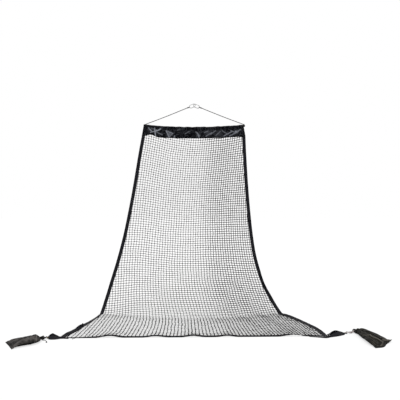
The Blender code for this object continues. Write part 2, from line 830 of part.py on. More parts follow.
def make_gate(name, frame):
    """The sprung gate: a rod with a slot and a pin hole at its hinge and a bore for its spring."""
    hinge = frame.point(HINGE_PLACE, HOOK_BOW)
    reach = HINGE_PLACE - TIP_PLACE
    rod = cylinder(name, GATE_ROD, -reach - GATE_ROD, GATE_ROD, HOOK_SIDES)
    placed(rod, frame.matrix(HINGE_PLACE, HOOK_BOW))
    obj = add_object(name, rod, HOOK_STEEL)
    half_slot = TONGUE_THICKNESS / 2 + GAP
    beyond = HOOK_ROD * 2
    slot = box(name + "_slot", (-SLOT_DEPTH, -half_slot, -beyond), (beyond, half_slot, beyond))
    placed(slot, frame.matrix(HINGE_PLACE, HOOK_BOW))
    combine(obj, slot, "DIFFERENCE")
    bore_end = -SLOT_DEPTH - SPRING_DEPTH
    bore = cylinder(name + "_bore", SPRING_BORE, bore_end, -SLOT_DEPTH + OVERRUN, POLE_SIDES)
    placed(bore, frame.matrix(HINGE_PLACE, HOOK_BOW))
    combine(obj, bore, "DIFFERENCE")
    hole = cylinder(name + "_hole", PIN_RADIUS + PIN_EASE, -beyond, beyond, EYELET_SIDES, "Y")
    placed(hole, frame.matrix(HINGE_PLACE, HOOK_BOW))
    combine(obj, hole, "DIFFERENCE")
    half_cut = HOOK_BOW / 2
    slant = Matrix.Rotation(math.radians(GATE_SLANT_DEG), 4, "Y")
    cut = box(name + "_cut", (-HOOK_BOW, -half_cut, -half_cut), (0.0, half_cut, half_cut))
    placed(cut, frame.matrix(TIP_PLACE, HOOK_BOW) @ slant)
    combine(obj, cut, "DIFFERENCE")
    obj.data.transform(Matrix.Translation(-hinge))
    obj.location = hinge


def make_pin(name, frame):
    """The rivet that the gate turns on."""
    length = math.sqrt(GATE_ROD * GATE_ROD - PIN_RADIUS * PIN_RADIUS) - GAP
    pin = cylinder(name, PIN_RADIUS, -length, length, EYELET_SIDES, "Y")
    placed(pin, frame.matrix(HINGE_PLACE, HOOK_BOW))
    add_object(name, pin, HOOK_STEEL)


def make_spring(name, frame):
    """The coil spring inside the gate."""
    start = HINGE_PLACE - SLOT_DEPTH - SPRING_DEPTH + SPRING_WIRE + GAP
    length = SPRING_DEPTH - 2 * (SPRING_WIRE + GAP)
    steps = SPRING_TURNS * SPRING_STEPS
    route = []
    for k in range(steps + 1):
        turn = 2 * math.pi * k / SPRING_STEPS
        across = HOOK_BOW + SPRING_RADIUS * math.cos(turn)
        route.append(frame.point(start + length * k / steps, across, SPRING_RADIUS * math.sin(turn)))
    rings = []
    for i, place in enumerate(route):
        tangent = (route[min(steps, i + 1)] - route[max(0, i - 1)]).normalized()
        side = frame.along.cross(tangent).normalized()
        rings.append(circle(place, side, tangent.cross(side), SPRING_WIRE, WIRE_SIDES))
    hinge = frame.point(HINGE_PLACE, HOOK_BOW)
    add_object(name, loft(name, rings), HOOK_STEEL, hinge)


def make_hook_knot(name, frame):
    """Cord tied round the hook's lower bow, with its wrapped knot."""
    centre = frame.point(BOW_END + HOOK_BOW, 0.0)
    reach = KNOT_RING / math.cos(math.pi / KNOT_SIDES)
    rings = []
    for k in range(KNOT_SIDES):
        turn = 2 * math.pi * k / KNOT_SIDES
        out = frame.along * math.cos(turn) + frame.through * math.sin(turn)
        rings.append(circle(centre + out * reach, out, frame.across, CORD_RADIUS, CORD_SIDES))
    obj = add_object(name, loft(name, rings, closed=True), BLACK_CORD)
    steps = BARREL_STEPS * BARREL_TURNS
    rings = []
    for k in range(steps + 1):
        share = k / steps
        round_end = math.sqrt(max(0.0, 1.0 - (2 * share - 1) ** BARREL_ROUNDING))
        wave = BARREL_WAVE * math.cos(2 * math.pi * share * BARREL_TURNS)
        radius = CORD_RADIUS + (BARREL_RADIUS - CORD_RADIUS) * round_end - wave
        place = frame.point(BARREL_START + BARREL_LENGTH * share, 0.0)
        rings.append(circle(place, frame.across, frame.through, radius, POLE_SIDES))
    combine(obj, loft(name + "_barrel", rings), "UNION")


def make_pole_knot(name, side, frame):
    """Turns of cord round the cap's neck, with the knot's lump on top, aimed along the cord."""
    start = side * (POLE_HALF + GAP)
    end = pole_point(start)
    out = pole_tangent(start) * side
    across = Vector((0.0, 1.0, 0.0))
    up = out.cross(across)
    inner = (NECK_RADIUS + PIN_EASE) / math.cos(math.pi / KNOT_SIDES)
    turn_width = (NECK_LENGTH - 2 * GAP) / WINDING_TURNS
    rings = [circle(end + out * GAP, across, up, inner, KNOT_SIDES)]
    for turn in range(WINDING_TURNS):
        for k in range(0 if turn == 0 else 1, WINDING_STEPS + 1):
            place = GAP + turn_width * (turn + k / WINDING_STEPS)
            bulge = math.sin(math.pi * k / WINDING_STEPS)
            radius = inner + CORD_RADIUS * (1.0 + bulge)
            rings.append(circle(end + out * place, across, up, radius, KNOT_SIDES))
    rings.append(circle(end + out * (NECK_LENGTH - GAP), across, up, inner, KNOT_SIDES))
    obj = add_object(name, loft(name, rings, closed=True), BLACK_CORD)
    middle = pole_knot_top(side)
    aim = (frame.point(BARREL_END, 0.0) - middle).normalized()
    lump = []
    for k in range(LUMP_ROWS + 1):
        share = 2 * k / LUMP_ROWS - 1.0
        radius = LUMP_END_RADIUS + (LUMP_RADIUS - LUMP_END_RADIUS) * math.sqrt(1.0 - share * share)
        centre = middle + aim * (LUMP_HALF * share)
        lump.append(circle(centre, across, aim.cross(across), radius, KNOT_SIDES))
    combine(obj, loft(name + "_lump", lump), "UNION")


def make_hanging_cord(name, side, frame):
    """The cord from a hook's knot down to the pole's end."""
    end = pole_knot_top(side)
    direction = (frame.point(BARREL_END, 0.0) - end).normalized()
    start = end + direction * (LUMP_HALF + GAP)
    finish = frame.point(BARREL_END + GAP, 0.0)
    middle = (start + finish) / 2 - Vector((0.0, 0.0, CORD_SAG))
    steps = math.ceil((finish - start).length / CORD_STEP)
    cord_curve(name, smooth_route((start, middle, finish), steps), CORD_RADIUS, BLACK_CORD)


def make_hooks():
    """Both hooks, their knots and the cords that hang from them."""
    for side, word in ((-1.0, "left"), (1.0, "right")):
        frame = HookFrame(side)
        make_hook_body(word + "_hook_body", frame)
        make_gate(word + "_hook_gate", frame)
        make_pin(word + "_hook_pin", frame)
        make_spring(word + "_hook_spring", frame)
        make_hook_knot(word + "_hook_knot", frame)
        make_pole_knot(word + "_pole_knot", side, frame)
        make_hanging_cord(word + "_hanging_cord", side, frame)


# Corners


def on_floor(place, height=0.0):
    """A point at a height above the floor."""
    return Vector((place[0], place[1], FLOOR + height))


def beside(place, reach):
    """A place on the floor at a reach from another."""
    return (place[0] + reach[0], place[1] + reach[1])


def corner(right_side):
    """The place of one of the curtain's bottom corners."""
    point = drape(edges(CLOTH_LENGTH)[1 if right_side else 0], CLOTH_LENGTH)
    return (point.x, point.y)


def make_tail(name, right_side, reaches, rolls, eyelet):
    """Webbing from the bottom corner to the eyelet, twisted on its way."""
    sign = 1.0 if right_side else -1.0
    start = corner(right_side)
    route = [on_floor(beside(start, place), place[2]) for place in reaches]
    low = CLOTH_LENGTH - TAIL_ROW
    ends = []
    for down in (low, CLOTH_LENGTH):
        ends.append(drape(edges(down)[1 if right_side else 0], down))
    edge = (ends[1] - ends[0]).normalized()
    outward = edge.cross(Vector((0.0, 0.0, 1.0)))
    if outward.x * sign < 0.0:
        outward = -outward
    first = ends[0] + edge * (TAIL_ROW - TAIL_WIDTH / 2 - GAP) + outward * GAP
    last = on_floor(eyelet, EYELET_LIFT)
    heading = last - route[-1]
    heading.z = 0.0
    heading.normalize()
    half_plate = heading * (TAIL_END_WIDTH * TAIL_PLATE_SHARE)
    knots = [first, *route, last - half_plate]
    path = smooth_route(knots, TAIL_STEPS)
    path.append(last + half_plate)
    roll_places = [(k / (len(rolls) - 1), roll) for k, roll in enumerate(rolls)]
    rings = []
    for i, place in enumerate(path):
        before = path[max(0, i - 1)]
        after = path[min(len(path) - 1, i + 1)]
        tangent = (after - before).normalized()
        if i == 0:
            tangent = outward
        if i >= TAIL_STEPS:
            tangent = heading
        level = Vector((0.0, 0.0, 1.0)).cross(tangent).normalized()
        up = tangent.cross(level).normalized()
        share = min(1.0, i / TAIL_STEPS)
        roll = math.radians(interpolate(roll_places, share))
        wide = level * math.cos(roll) + up * math.sin(roll)
        thick = up * math.cos(roll) - level * math.sin(roll)
        width = TAIL_WIDTH + (TAIL_END_WIDTH - TAIL_WIDTH) * share
        half = wide * (width / 2)
        depth = thick * (TAIL_THICKNESS / 2)
        lower = place - depth
        upper = place + depth
        rings.append([lower - half, lower + half, upper + half, upper - half])
    obj = add_object(name, loft(name, rings), BLACK_WEBBING)
    hole = cylinder(name + "_hole", EYELET_BARREL + GAP, -TAIL_WIDTH, TAIL_WIDTH, EYELET_SIDES, "Z")
    hole.transform(Matrix.Translation(last))
    combine(obj, hole, "DIFFERENCE")


def make_eyelet(name, eyelet):
    """The metal eyelet set through the tail's end."""
    centre = on_floor(eyelet, EYELET_LIFT)
    side = Vector((1.0, 0.0, 0.0))
    other = Vector((0.0, 1.0, 0.0))
    seat = TAIL_THICKNESS / 2 + GAP
    face = seat + EYELET_RIM
    profile = (
        (-face, EYELET_BORE),
        (-face, EYELET_FLANGE),
        (-seat, EYELET_FLANGE),
        (-seat, EYELET_BARREL),
        (seat, EYELET_BARREL),
        (seat, EYELET_FLANGE),
        (face, EYELET_FLANGE),
        (face, EYELET_BORE),
    )
    rings = []
    for height, radius in profile:
        rings.append(circle(centre + Vector((0.0, 0.0, height)), side, other, radius, EYELET_SIDES))
    add_object(name, loft(name, rings, closed=True), BRASS)


def make_peg_loop():
    """A cord loop sewn to the front edge, for a ground peg."""
    middle = corner(False)[0] + PEG_INSET
    edge_left = drape(middle - PEG_HALF, CLOTH_LENGTH)
    edge_right = drape(middle + PEG_HALF, CLOTH_LENGTH)
    away = Vector((0.0, -1.0, 0.0))
    inset = away * (GAP + PEG_CORD)
    base = on_floor((0.0, 0.0), PEG_CORD + FLOOR_EASE).z
    corners = []
    for point in (edge_left, edge_right):
        corners.append(Vector((point.x, point.y, base)) + inset)
    tip = (corners[0] + corners[1]) / 2 + away * (PEG_REACH - GAP - PEG_CORD)
    route = []
    knots = (corners[0], corners[1], tip)
    for k, knot in enumerate(knots):
        before = knots[k - 1]
        after = knots[(k + 1) % len(knots)]
        enter = knot.lerp(before, PEG_CORNER_SHARE)
        leave = knot.lerp(after, PEG_CORNER_SHARE)
        for step in range(PEG_STEPS + 1):
            t = step / PEG_STEPS
            route.append(enter * (1 - t) ** 2 + knot * (2 * t * (1 - t)) + leave * t * t)
    rings = []
    up = Vector((0.0, 0.0, 1.0))
    for i, place in enumerate(route):
        tangent = (route[(i + 1) % len(route)] - route[i - 1]).normalized()
        rings.append(circle(place, tangent.cross(up), up, PEG_CORD, CORD_SIDES))
    add_object("left_peg_loop", loft("left_peg_loop", rings, closed=True), BLACK_CORD)


# Sand bags


class Bag:
    """One bag's own axes on the floor: along from its neck to its sewn end, and across."""

    def __init__(self, neck, heading_deg, lean_share, sizes):
        length, half, height = sizes
        heading = math.radians(heading_deg)
        self.neck = on_floor(neck)
        self.along = Vector((math.cos(heading), math.sin(heading), 0.0))
        self.across = Vector((-math.sin(heading), math.cos(heading), 0.0))
        self.lean_share = lean_share
        self.length = length
        self.half = half
        self.height = height

    def round_ring(self, place, radius, inset):
        """A round section of the neck and the mouth."""
        centre = self.neck + self.along * place + Vector((0.0, 0.0, NECK_LIFT))
        return circle(centre, self.across, Vector((0.0, 0.0, 1.0)), radius - inset, BAG_SIDES)

    def flat_ring(self, share, half, height, inset):
        """A section that lies flat on the floor, drawn in by a wall."""
        points = []
        for k in range(BAG_SIDES):
            turn = 2 * math.pi * (k + 0.5) / BAG_SIDES
            rise = (0.5 + 0.5 * math.sin(turn) - BAG_FLAT_SHARE) / (1.0 - BAG_FLAT_SHARE)
            up = Vector((0.0, 0.0, inset + (height - 2 * inset) * max(0.0, rise)))
            x = (half - inset) * math.cos(turn)
            place = self.length * share + self.lean_share * x * share
            points.append(self.neck + self.along * place + self.across * x + up)
        return points

    def body_rings(self, inset, first, last):
        """Sections from the neck's end to the sewn end."""
        rings = []
        for share, half_share, height_share in BAG_ROW_SHARES:
            if first <= share <= last:
                half = NECK_HALF + (self.half - NECK_HALF) * half_share
                rings.append(self.flat_ring(share, half, self.height * height_share, inset))
        return rings

    def neck_rings(self, inset):
        """Sections of the gathered mouth and of the neck inside its tie."""
        rings = []
        for share in MOUTH_ROW_SHARES:
            radius = NECK_HALF + (MOUTH_HALF - NECK_HALF) * share
            rings.append(self.round_ring(-NECK_REACH - MOUTH_LENGTH * share, radius, inset))
        rings.append(self.round_ring(-NECK_REACH, NECK_HALF, inset))
        rings.append(self.round_ring(NECK_REACH, NECK_HALF, inset))
        return rings


def make_bag(word, bag, pivot):
    """The bag's shell with its mouth, and the sand inside it."""
    inner = bag.neck_rings(BAG_WALL) + bag.body_rings(BAG_WALL, 0.0, SHELL_END_SHARE)
    outer = bag.neck_rings(0.0) + bag.body_rings(0.0, 0.0, 1.0)
    shell = loft(word + "_bag_shell", list(reversed(inner)) + outer, turned_strips=len(inner))
    add_object(word + "_bag_shell", shell, BAG_FABRIC, pivot)
    fill = loft(word + "_sand_fill", bag.body_rings(BAG_WALL + GAP, FILL_FIRST_SHARE, FILL_LAST_SHARE))
    add_object(word + "_sand_fill", fill, SAND, pivot)


def make_tie(word, bag, eyelet, side, reaches, finish):
    """The cord from under the eyelet to the bag's neck, with its stopper and its turns."""
    pivot = on_floor(eyelet, EYELET_LIFT)
    up = Vector((0.0, 0.0, 1.0))
    centre = bag.neck + up * NECK_LIFT
    bore = (NECK_HALF + GAP) / math.cos(math.pi / KNOT_SIDES)
    reach = TIE_RADIUS * TIE_TURNS
    rings = [circle(centre - bag.along * reach, bag.across, up, bore, KNOT_SIDES)]
    for turn in range(TIE_TURNS):
        for k in range(0 if turn == 0 else 1, TIE_TURN_STEPS + 1):
            place = 2 * TIE_RADIUS * (turn + k / TIE_TURN_STEPS) - reach
            radius = bore + TIE_RADIUS * (1.0 + math.sin(math.pi * k / TIE_TURN_STEPS))
            rings.append(circle(centre + bag.along * place, bag.across, up, radius, KNOT_SIDES))
    rings.append(circle(centre + bag.along * reach, bag.across, up, bore, KNOT_SIDES))
    add_object(word + "_neck_tie", loft(word + "_neck_tie", rings, closed=True), finish, pivot)

    under = EYELET_LIFT - TAIL_THICKNESS / 2 - GAP - EYELET_RIM - GAP
    rings = []
    for depth, radius in STOPPER_PROFILE:
        rings.append(circle(on_floor(eyelet, under - depth), bag.along, bag.across, radius, KNOT_SIDES))
    add_object(word + "_tie_stopper", loft(word + "_tie_stopper", rings), finish, pivot)

    start = on_floor(eyelet, under + GAP)
    outward = bag.across * side
    end = centre + outward * ((bore + 2 * TIE_RADIUS) * math.cos(math.pi / KNOT_SIDES) + GAP)
    route = [on_floor(beside(eyelet, place), place[2]) for place in reaches]
    lead = route[0] - start
    lead.z = 0.0
    lead.normalize()
    bend = start + up * TIE_LEAD
    quarter = bend + (lead + up) * TIE_BEND
    diagonal = math.sqrt(0.5)
    eighth = bend + (lead * (1.0 - diagonal) + up * diagonal) * TIE_BEND
    knots = [start, bend, eighth, quarter]
    knots += route
    knots += [end + outward * TIE_RUN_IN, end]
    total = sum((b - a).length for a, b in zip(knots, knots[1:]))
    points = smooth_route(knots, math.ceil(total / TIE_STEP))
    cord = cord_curve(word + "_tie_cord", points, TIE_RADIUS, finish)
    cord.data.transform(Matrix.Translation(-pivot))
    cord.location = pivot


def make_corners():
    """Both tails with their eyelets, and both bags with their ties: each bag turns about its eyelet."""
    left_eyelet = beside(corner(False), LEFT_EYELET_REACH)
    right_eyelet = beside(corner(True), RIGHT_EYELET_REACH)
    make_tail("left_corner_tail", False, LEFT_TAIL_ROUTE, LEFT_TAIL_ROLL_DEG, left_eyelet)
    make_tail("right_corner_tail", True, RIGHT_TAIL_ROUTE, RIGHT_TAIL_ROLL_DEG, right_eyelet)
    make_eyelet("left_eyelet", left_eyelet)
    make_eyelet("right_eyelet", right_eyelet)
    left_neck = beside(left_eyelet, LEFT_NECK_REACH)
    right_neck = beside(right_eyelet, RIGHT_NECK_REACH)
    left_sizes = (LEFT_BAG_LENGTH, LEFT_BAG_HALF, LEFT_BAG_HEIGHT)
    right_sizes = (RIGHT_BAG_LENGTH, RIGHT_BAG_HALF, RIGHT_BAG_HEIGHT)
    left = Bag(left_neck, LEFT_BAG_HEADING_DEG, LEFT_BAG_LEAN_SHARE, left_sizes)
    right = Bag(right_neck, RIGHT_BAG_HEADING_DEG, RIGHT_BAG_LEAN_SHARE, right_sizes)
    make_bag("left", left, on_floor(left_eyelet, EYELET_LIFT))
    make_bag("right", right, on_floor(right_eyelet, EYELET_LIFT))
    make_tie("left", left, left_eyelet, 1.0, LEFT_TIE_ROUTE, BLACK_CORD)
    make_tie("right", right, right_eyelet, -1.0, RIGHT_TIE_ROUTE, WHITE_CORD)


def main():
    """Builds every piece."""
    clear_scene()
    make_netting()
    make_side_binding("left_side_binding", False)
    make_side_binding("right_side_binding", True)
    make_bottom_binding()
    make_pole()
    make_end_cap("left_end_cap", -1.0)
    make_end_cap("right_end_cap", 1.0)
    make_sleeve()
    make_hooks()
    make_peg_loop()
    make_corners()


main()
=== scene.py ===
"""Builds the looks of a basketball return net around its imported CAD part.

The net hangs from two snap hooks: +X is to the right, -Y to the front and +Z up, in metres, and the
origin is the point where the hooks hang. The camera stands in front, below the hooks.
"""

import logging
import math
from dataclasses import dataclass
from enum import Enum
from typing import Callable

import bpy
import numpy as np
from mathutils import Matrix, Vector
from mathutils.geometry import delaunay_2d_cdt


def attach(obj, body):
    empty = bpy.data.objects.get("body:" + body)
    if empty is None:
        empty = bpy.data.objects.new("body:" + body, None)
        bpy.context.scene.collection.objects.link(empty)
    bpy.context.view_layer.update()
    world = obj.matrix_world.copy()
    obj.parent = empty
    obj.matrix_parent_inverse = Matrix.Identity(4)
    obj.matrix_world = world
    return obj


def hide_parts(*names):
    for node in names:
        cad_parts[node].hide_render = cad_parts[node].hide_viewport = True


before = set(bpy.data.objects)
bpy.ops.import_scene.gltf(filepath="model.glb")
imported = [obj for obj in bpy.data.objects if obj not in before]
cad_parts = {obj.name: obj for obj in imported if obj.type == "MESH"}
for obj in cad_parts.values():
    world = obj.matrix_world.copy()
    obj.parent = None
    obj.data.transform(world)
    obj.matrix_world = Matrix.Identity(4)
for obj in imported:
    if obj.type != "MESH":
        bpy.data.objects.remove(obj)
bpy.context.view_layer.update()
log = logging.getLogger("return_net")

FLOOR = -3.046
TOP_HALF = 0.75
POLE_HALF = 0.726
POLE_DROP = 0.304
POLE_SAG = 0.034
GAP = 0.0003
FLOOR_CLEAR = 0.0006
THREAD_LIFT = 0.0001
UP = np.array([0.0, 0.0, 1.0])


class Side(Enum):
    """Which half of the net a piece belongs to, as the camera sees it."""

    LEFT = -1.0
    RIGHT = 1.0

    @property
    def word(self) -> str:
        """Returns the side's word, as the pieces' names start."""
        return self.name.lower()


# Numbers and curves


def hermite(pairs: tuple[tuple[float, float], ...], values: np.ndarray) -> np.ndarray:
    """Reads a smooth curve through pairs of place and height.

    Args:
        pairs: The curve's places and heights, in order of place.
        values: The places to read it at.

    Returns:
        The height at each value, level beyond the ends.
    """
    places = np.array([pair[0] for pair in pairs], float)
    heights = np.array([pair[1] for pair in pairs], float)
    steps = np.diff(heights) / np.diff(places)
    slopes = np.empty(len(places))
    slopes[0] = steps[0]
    slopes[-1] = steps[-1]
    slopes[1:-1] = (heights[2:] - heights[:-2]) / (places[2:] - places[:-2])
    held = np.clip(values, places[0], places[-1])
    i = np.clip(np.searchsorted(places, held, side="right") - 1, 0, len(places) - 2)
    width = places[i + 1] - places[i]
    t = (held - places[i]) / width
    start = heights[i] * (1 + 2 * t) * (1 - t) ** 2 + slopes[i] * width * t * (1 - t) ** 2
    end = heights[i + 1] * t * t * (3 - 2 * t) + slopes[i + 1] * width * t * t * (t - 1)
    return start + end


def ease(share: np.ndarray) -> np.ndarray:
    """Returns a share from 0 to 1 with a soft start and end."""
    return share * share * (3 - 2 * share)


def around(angle: np.ndarray, first: np.ndarray, second: np.ndarray) -> np.ndarray:
    """Returns the directions at some angles, turned from a first direction to a second one."""
    return np.cos(angle)[:, None] * first + np.sin(angle)[:, None] * second


def run_along(route: np.ndarray) -> np.ndarray:
    """Returns how far along a line each of its points is."""
    return np.concatenate([[0.0], np.cumsum(np.linalg.norm(np.diff(route, axis=0), axis=1))])


def bumps(place: np.ndarray, shares: tuple[tuple[float, float, float], ...]) -> np.ndarray:
    """Adds up a row of rounded folds.

    Args:
        place: Places across the row.
        shares: Each fold's centre, half width and height.

    Returns:
        The height at each place.
    """
    total = np.zeros_like(place)
    for centre, half, height in shares:
        reach = np.minimum(np.abs(place - centre) / half, 1.0)
        total += height * (0.5 + 0.5 * np.cos(np.pi * reach))
    return total


def stroke(u: np.ndarray, v: np.ndarray, line: tuple[float, float, float, float], half: float) -> np.ndarray:
    """Reads how near places are to a short straight line.

    Args:
        u: Places across.
        v: Places along.
        line: The line's start across and along, and its end.
        half: How far off the line the mark is nearly gone.

    Returns:
        1 on the line, less away from it.
    """
    du = line[2] - line[0]
    dv = line[3] - line[1]
    share = np.clip(((u - line[0]) * du + (v - line[1]) * dv) / max(du * du + dv * dv, 1e-12), 0.0, 1.0)
    away = (u - line[0] - du * share) ** 2 + (v - line[1] - dv * share) ** 2
    return np.exp(-away / half ** 2)


def mark(mesh: bpy.types.Mesh, label: str, values: np.ndarray) -> None:
    """Stores a number on each corner point of a mesh.

    Args:
        mesh: The mesh.
        label: The attribute's name.
        values: One number for each point, repeated for the back of a sheet.

    Returns:
        Nothing.
    """
    flat = np.asarray(values, np.float32).ravel()
    attribute = mesh.attributes.new(label, "FLOAT", "POINT")
    attribute.data.foreach_set("value", np.tile(flat, len(mesh.vertices) // len(flat)))


def unit(vectors: np.ndarray) -> np.ndarray:
    """Returns the vectors at length one."""
    return vectors / np.maximum(np.linalg.norm(vectors, axis=-1, keepdims=True), 1e-12)


def resample(route: np.ndarray, count: int) -> np.ndarray:
    """Spaces points evenly along a line.

    Args:
        route: The line's points.
        count: How many points come back.

    Returns:
        The new points, with both ends kept.
    """
    along = run_along(route)
    at = np.linspace(0.0, along[-1], count)
    return np.stack([np.interp(at, along, route[:, axis]) for axis in range(3)], axis=1)


def smooth_route(knots: list, count: int) -> np.ndarray:
    """Draws one smooth curve through chosen points.

    Args:
        knots: The points that it passes, in order.
        count: How many points come back.

    Returns:
        Points spaced evenly along the curve.
    """
    knots = np.array([tuple(knot) for knot in knots], float)
    along = run_along(knots)
    at = np.linspace(0.0, along[-1], count * 8)
    courses = [hermite(tuple(zip(along, knots[:, axis])), at) for axis in range(3)]
    return resample(np.stack(courses, axis=1), count)


def length_of(route: np.ndarray) -> float:
    """Returns the length of a line of points."""
    return float(np.linalg.norm(np.diff(route, axis=0), axis=1).sum())


def frames(route: np.ndarray, first_up: tuple = (0.0, 0.0, 1.0)) -> tuple[np.ndarray, np.ndarray]:
    """Carries two cross directions along a line without twisting them.

    Args:
        route: The line's points.
        first_up: A direction that the second one starts near.

    Returns:
        Two unit directions at each point, square to the line and to each other.
    """
    tangents = unit(np.gradient(route, axis=0))
    up = np.array(first_up, float)
    sides = np.empty_like(route)
    ups = np.empty_like(route)
    for i, tangent in enumerate(tangents):
        up = up - tangent * up.dot(tangent)
        if np.linalg.norm(up) < 1e-6:
            up = np.cross(tangent, (0.31, 0.87, 0.38))
        up = up / np.linalg.norm(up)
        ups[i] = up
        sides[i] = np.cross(tangent, up)
    return sides, ups


class Noise:
    """Smooth repeatable unevenness over a plane, from a grid of seeded values."""

    def __init__(self, seed: int, pitch: float, size: int = 61) -> None:
        """Makes the grid.

        Args:
            seed: The seed of its values.
            pitch: Their spacing.
            size: Their count each way.

        Returns:
            Nothing.
        """
        self.pitch = pitch
        self.size = size
        self.values = np.random.default_rng(seed).uniform(-1.0, 1.0, (size, size))

    def at(self, u: np.ndarray, v: np.ndarray) -> np.ndarray:
        """Reads the unevenness.

        Args:
            u: Places across.
            v: Places down.

        Returns:
            A value from -1 to 1 at each place.
        """
        i, fu = np.divmod(np.asarray(u, float) / self.pitch, 1.0)
        j, fv = np.divmod(np.asarray(v, float) / self.pitch, 1.0)
        fu = ease(fu)
        fv = ease(fv)
        i = i.astype(int) % self.size
        j = j.astype(int) % self.size
        i2 = (i + 1) % self.size
        j2 = (j + 1) % self.size
        low = self.values[i, j] * (1 - fu) + self.values[i2, j] * fu
        high = self.values[i, j2] * (1 - fu) + self.values[i2, j2] * fu
        return low * (1 - fv) + high * fv


class Creases:
    """Flat facets between sharp creases, as a stiff coated fabric crumples."""

    def __init__(self, seed: int, wide: float, long: float, pitch: float) -> None:
        """Throws the facets' corners.

        Args:
            seed: Which corners.
            wide: The fabric's width.
            long: The fabric's length.
            pitch: The usual size of a facet.

        Returns:
            Nothing.
        """
        rng = np.random.default_rng(seed)
        columns = max(2, round(wide / pitch))
        rows = max(2, round(long / pitch))
        spots = []
        for i in range(-1, columns + 2):
            for j in range(-1, rows + 2):
                shift = rng.uniform(-0.46, 0.46, 2)
                spots.append(((i + 0.5 * (j % 2) + shift[0]) * wide / columns, (j + shift[1]) * long / rows))
        self.spots = np.array(spots)
        self.heights = rng.uniform(-1.0, 1.0, len(spots))
        self.triangles = delaunay_2d_cdt([Vector(spot) for spot in spots], [], [], 0, 1e-6)[2]

    def at(self, u: np.ndarray, v: np.ndarray) -> np.ndarray:
        """Reads the facets' height.

        Args:
            u: Places across.
            v: Places along.

        Returns:
            A height from -1 to 1 at each place.
        """
        flat_u = np.ravel(u)
        flat_v = np.ravel(v)
        out = np.zeros(len(flat_u))
        for triangle in self.triangles:
            a, b, c = self.spots[list(triangle)]
            low = np.minimum(np.minimum(a, b), c)
            high = np.maximum(np.maximum(a, b), c)
            near = (flat_u >= low[0]) & (flat_u <= high[0]) & (flat_v >= low[1]) & (flat_v <= high[1])
            if not near.any():
                continue
            spot = np.nonzero(near)[0]
            area = (b[0] - a[0]) * (c[1] - a[1]) - (c[0] - a[0]) * (b[1] - a[1])
            du = flat_u[spot] - a[0]
            dv = flat_v[spot] - a[1]
            s = (du * (c[1] - a[1]) - dv * (c[0] - a[0])) / area
            t = (dv * (b[0] - a[0]) - du * (b[1] - a[1])) / area
            inside = (s >= -1e-9) & (t >= -1e-9) & (s + t <= 1 + 1e-9)
            h = self.heights[list(triangle)]
            out[spot[inside]] = (h[0] + (h[1] - h[0]) * s + (h[2] - h[0]) * t)[inside]
        return out.reshape(np.shape(u))

    def lines(self, u: np.ndarray, v: np.ndarray, half: float) -> np.ndarray:
        """Reads how near a sharp crease is, as some creases show and others don't.

        Args:
            u: Places across.
            v: Places along.
            half: Half the width of a crease's mark.

        Returns:
            0 away from creases to 1 on the strongest ones.
        """
        rng = np.random.default_rng(len(self.spots))
        edges = sorted({tuple(sorted((t[k], t[k - 1]))) for t in self.triangles for k in range(3)})
        out = np.zeros(np.shape(u))
        for a, b in edges:
            strength = rng.random() ** 3
            if strength < 0.05:
                continue
            out = np.maximum(out, strength * stroke(u, v, (*self.spots[a], *self.spots[b]), half))
        return out


# Meshes


def mesh_object(name: str, points: np.ndarray, faces: np.ndarray, material: bpy.types.Material,
                uv: np.ndarray | None = None) -> bpy.types.Object:
    """Links a smooth mesh of four-sided faces as a named object.

    Args:
        name: The piece's name.
        points: Its corners.
        faces: Four corner numbers to a face, the last one repeated for a triangle.
        material: What it is made of.
        uv: A flat place for each corner, in metres.

    Returns:
        The object, at the origin.
    """
    mesh = bpy.data.meshes.new(name)
    rows = [tuple(dict.fromkeys(face)) for face in faces.tolist()]
    mesh.from_pydata(points.tolist(), [], rows)
    if uv is not None:
        layer = mesh.uv_layers.new(name="cut")
        corners = np.zeros(len(mesh.loops), np.int32)
        mesh.loops.foreach_get("vertex_index", corners)
        layer.data.foreach_set("uv", uv[corners].astype(np.float32).ravel())
    mesh.materials.append(material)
    mesh.shade_smooth()
    obj = bpy.data.objects.new(name, mesh)
    bpy.context.scene.collection.objects.link(obj)
    return obj


def grid_faces(rows: int, columns: int, first: int = 0, turned: bool = False,
               round_: bool = False) -> np.ndarray:
    """Numbers the faces of a grid of points.

    Args:
        rows: Points down.
        columns: Points across.
        first: The first point's number.
        turned: Whether the faces look the other way.
        round_: Whether the last column joins the first one.

    Returns:
        Four corner numbers to a face.
    """
    i, j = np.meshgrid(np.arange(rows - 1), np.arange(columns if round_ else columns - 1), indexing="ij")
    k = (j + 1) % columns
    corners = [i * columns + j, i * columns + k, (i + 1) * columns + k, (i + 1) * columns + j]
    faces = np.stack([corner.ravel() + first for corner in corners], axis=1)
    return faces[:, ::-1] if turned else faces


def sheet_object(name: str, middle: np.ndarray, normal: np.ndarray, half: np.ndarray | float,
                 material: bpy.types.Material, uv: np.ndarray) -> bpy.types.Object:
    """Builds a closed sheet round a grid of middle points.

    Args:
        name: The piece's name.
        middle: The grid, rows by columns, with columns to the right seen from the front.
        normal: The front's direction at each point.
        half: Half the thickness at each point.
        material: What it is made of.
        uv: The flat place of each point.

    Returns:
        The object.
    """
    rows, columns = middle.shape[:2]
    depth = normal * np.broadcast_to(np.asarray(half, float), (rows, columns))[..., None]
    front = (middle + depth).reshape(-1, 3)
    back = (middle - depth).reshape(-1, 3)
    count = rows * columns
    faces = [grid_faces(rows, columns, turned=True), grid_faces(rows, columns, first=count)]
    index = np.arange(count).reshape(rows, columns)
    rim = np.concatenate([index[0, :-1], index[:-1, -1], index[-1, :0:-1], index[:0:-1, 0]])
    after = np.roll(rim, -1)
    faces.append(np.stack([rim, after, after + count, rim + count], axis=1))
    flat = uv.reshape(-1, 2)
    points = np.concatenate([front, back])
    return mesh_object(name, points, np.concatenate(faces), material, np.concatenate([flat, flat]))


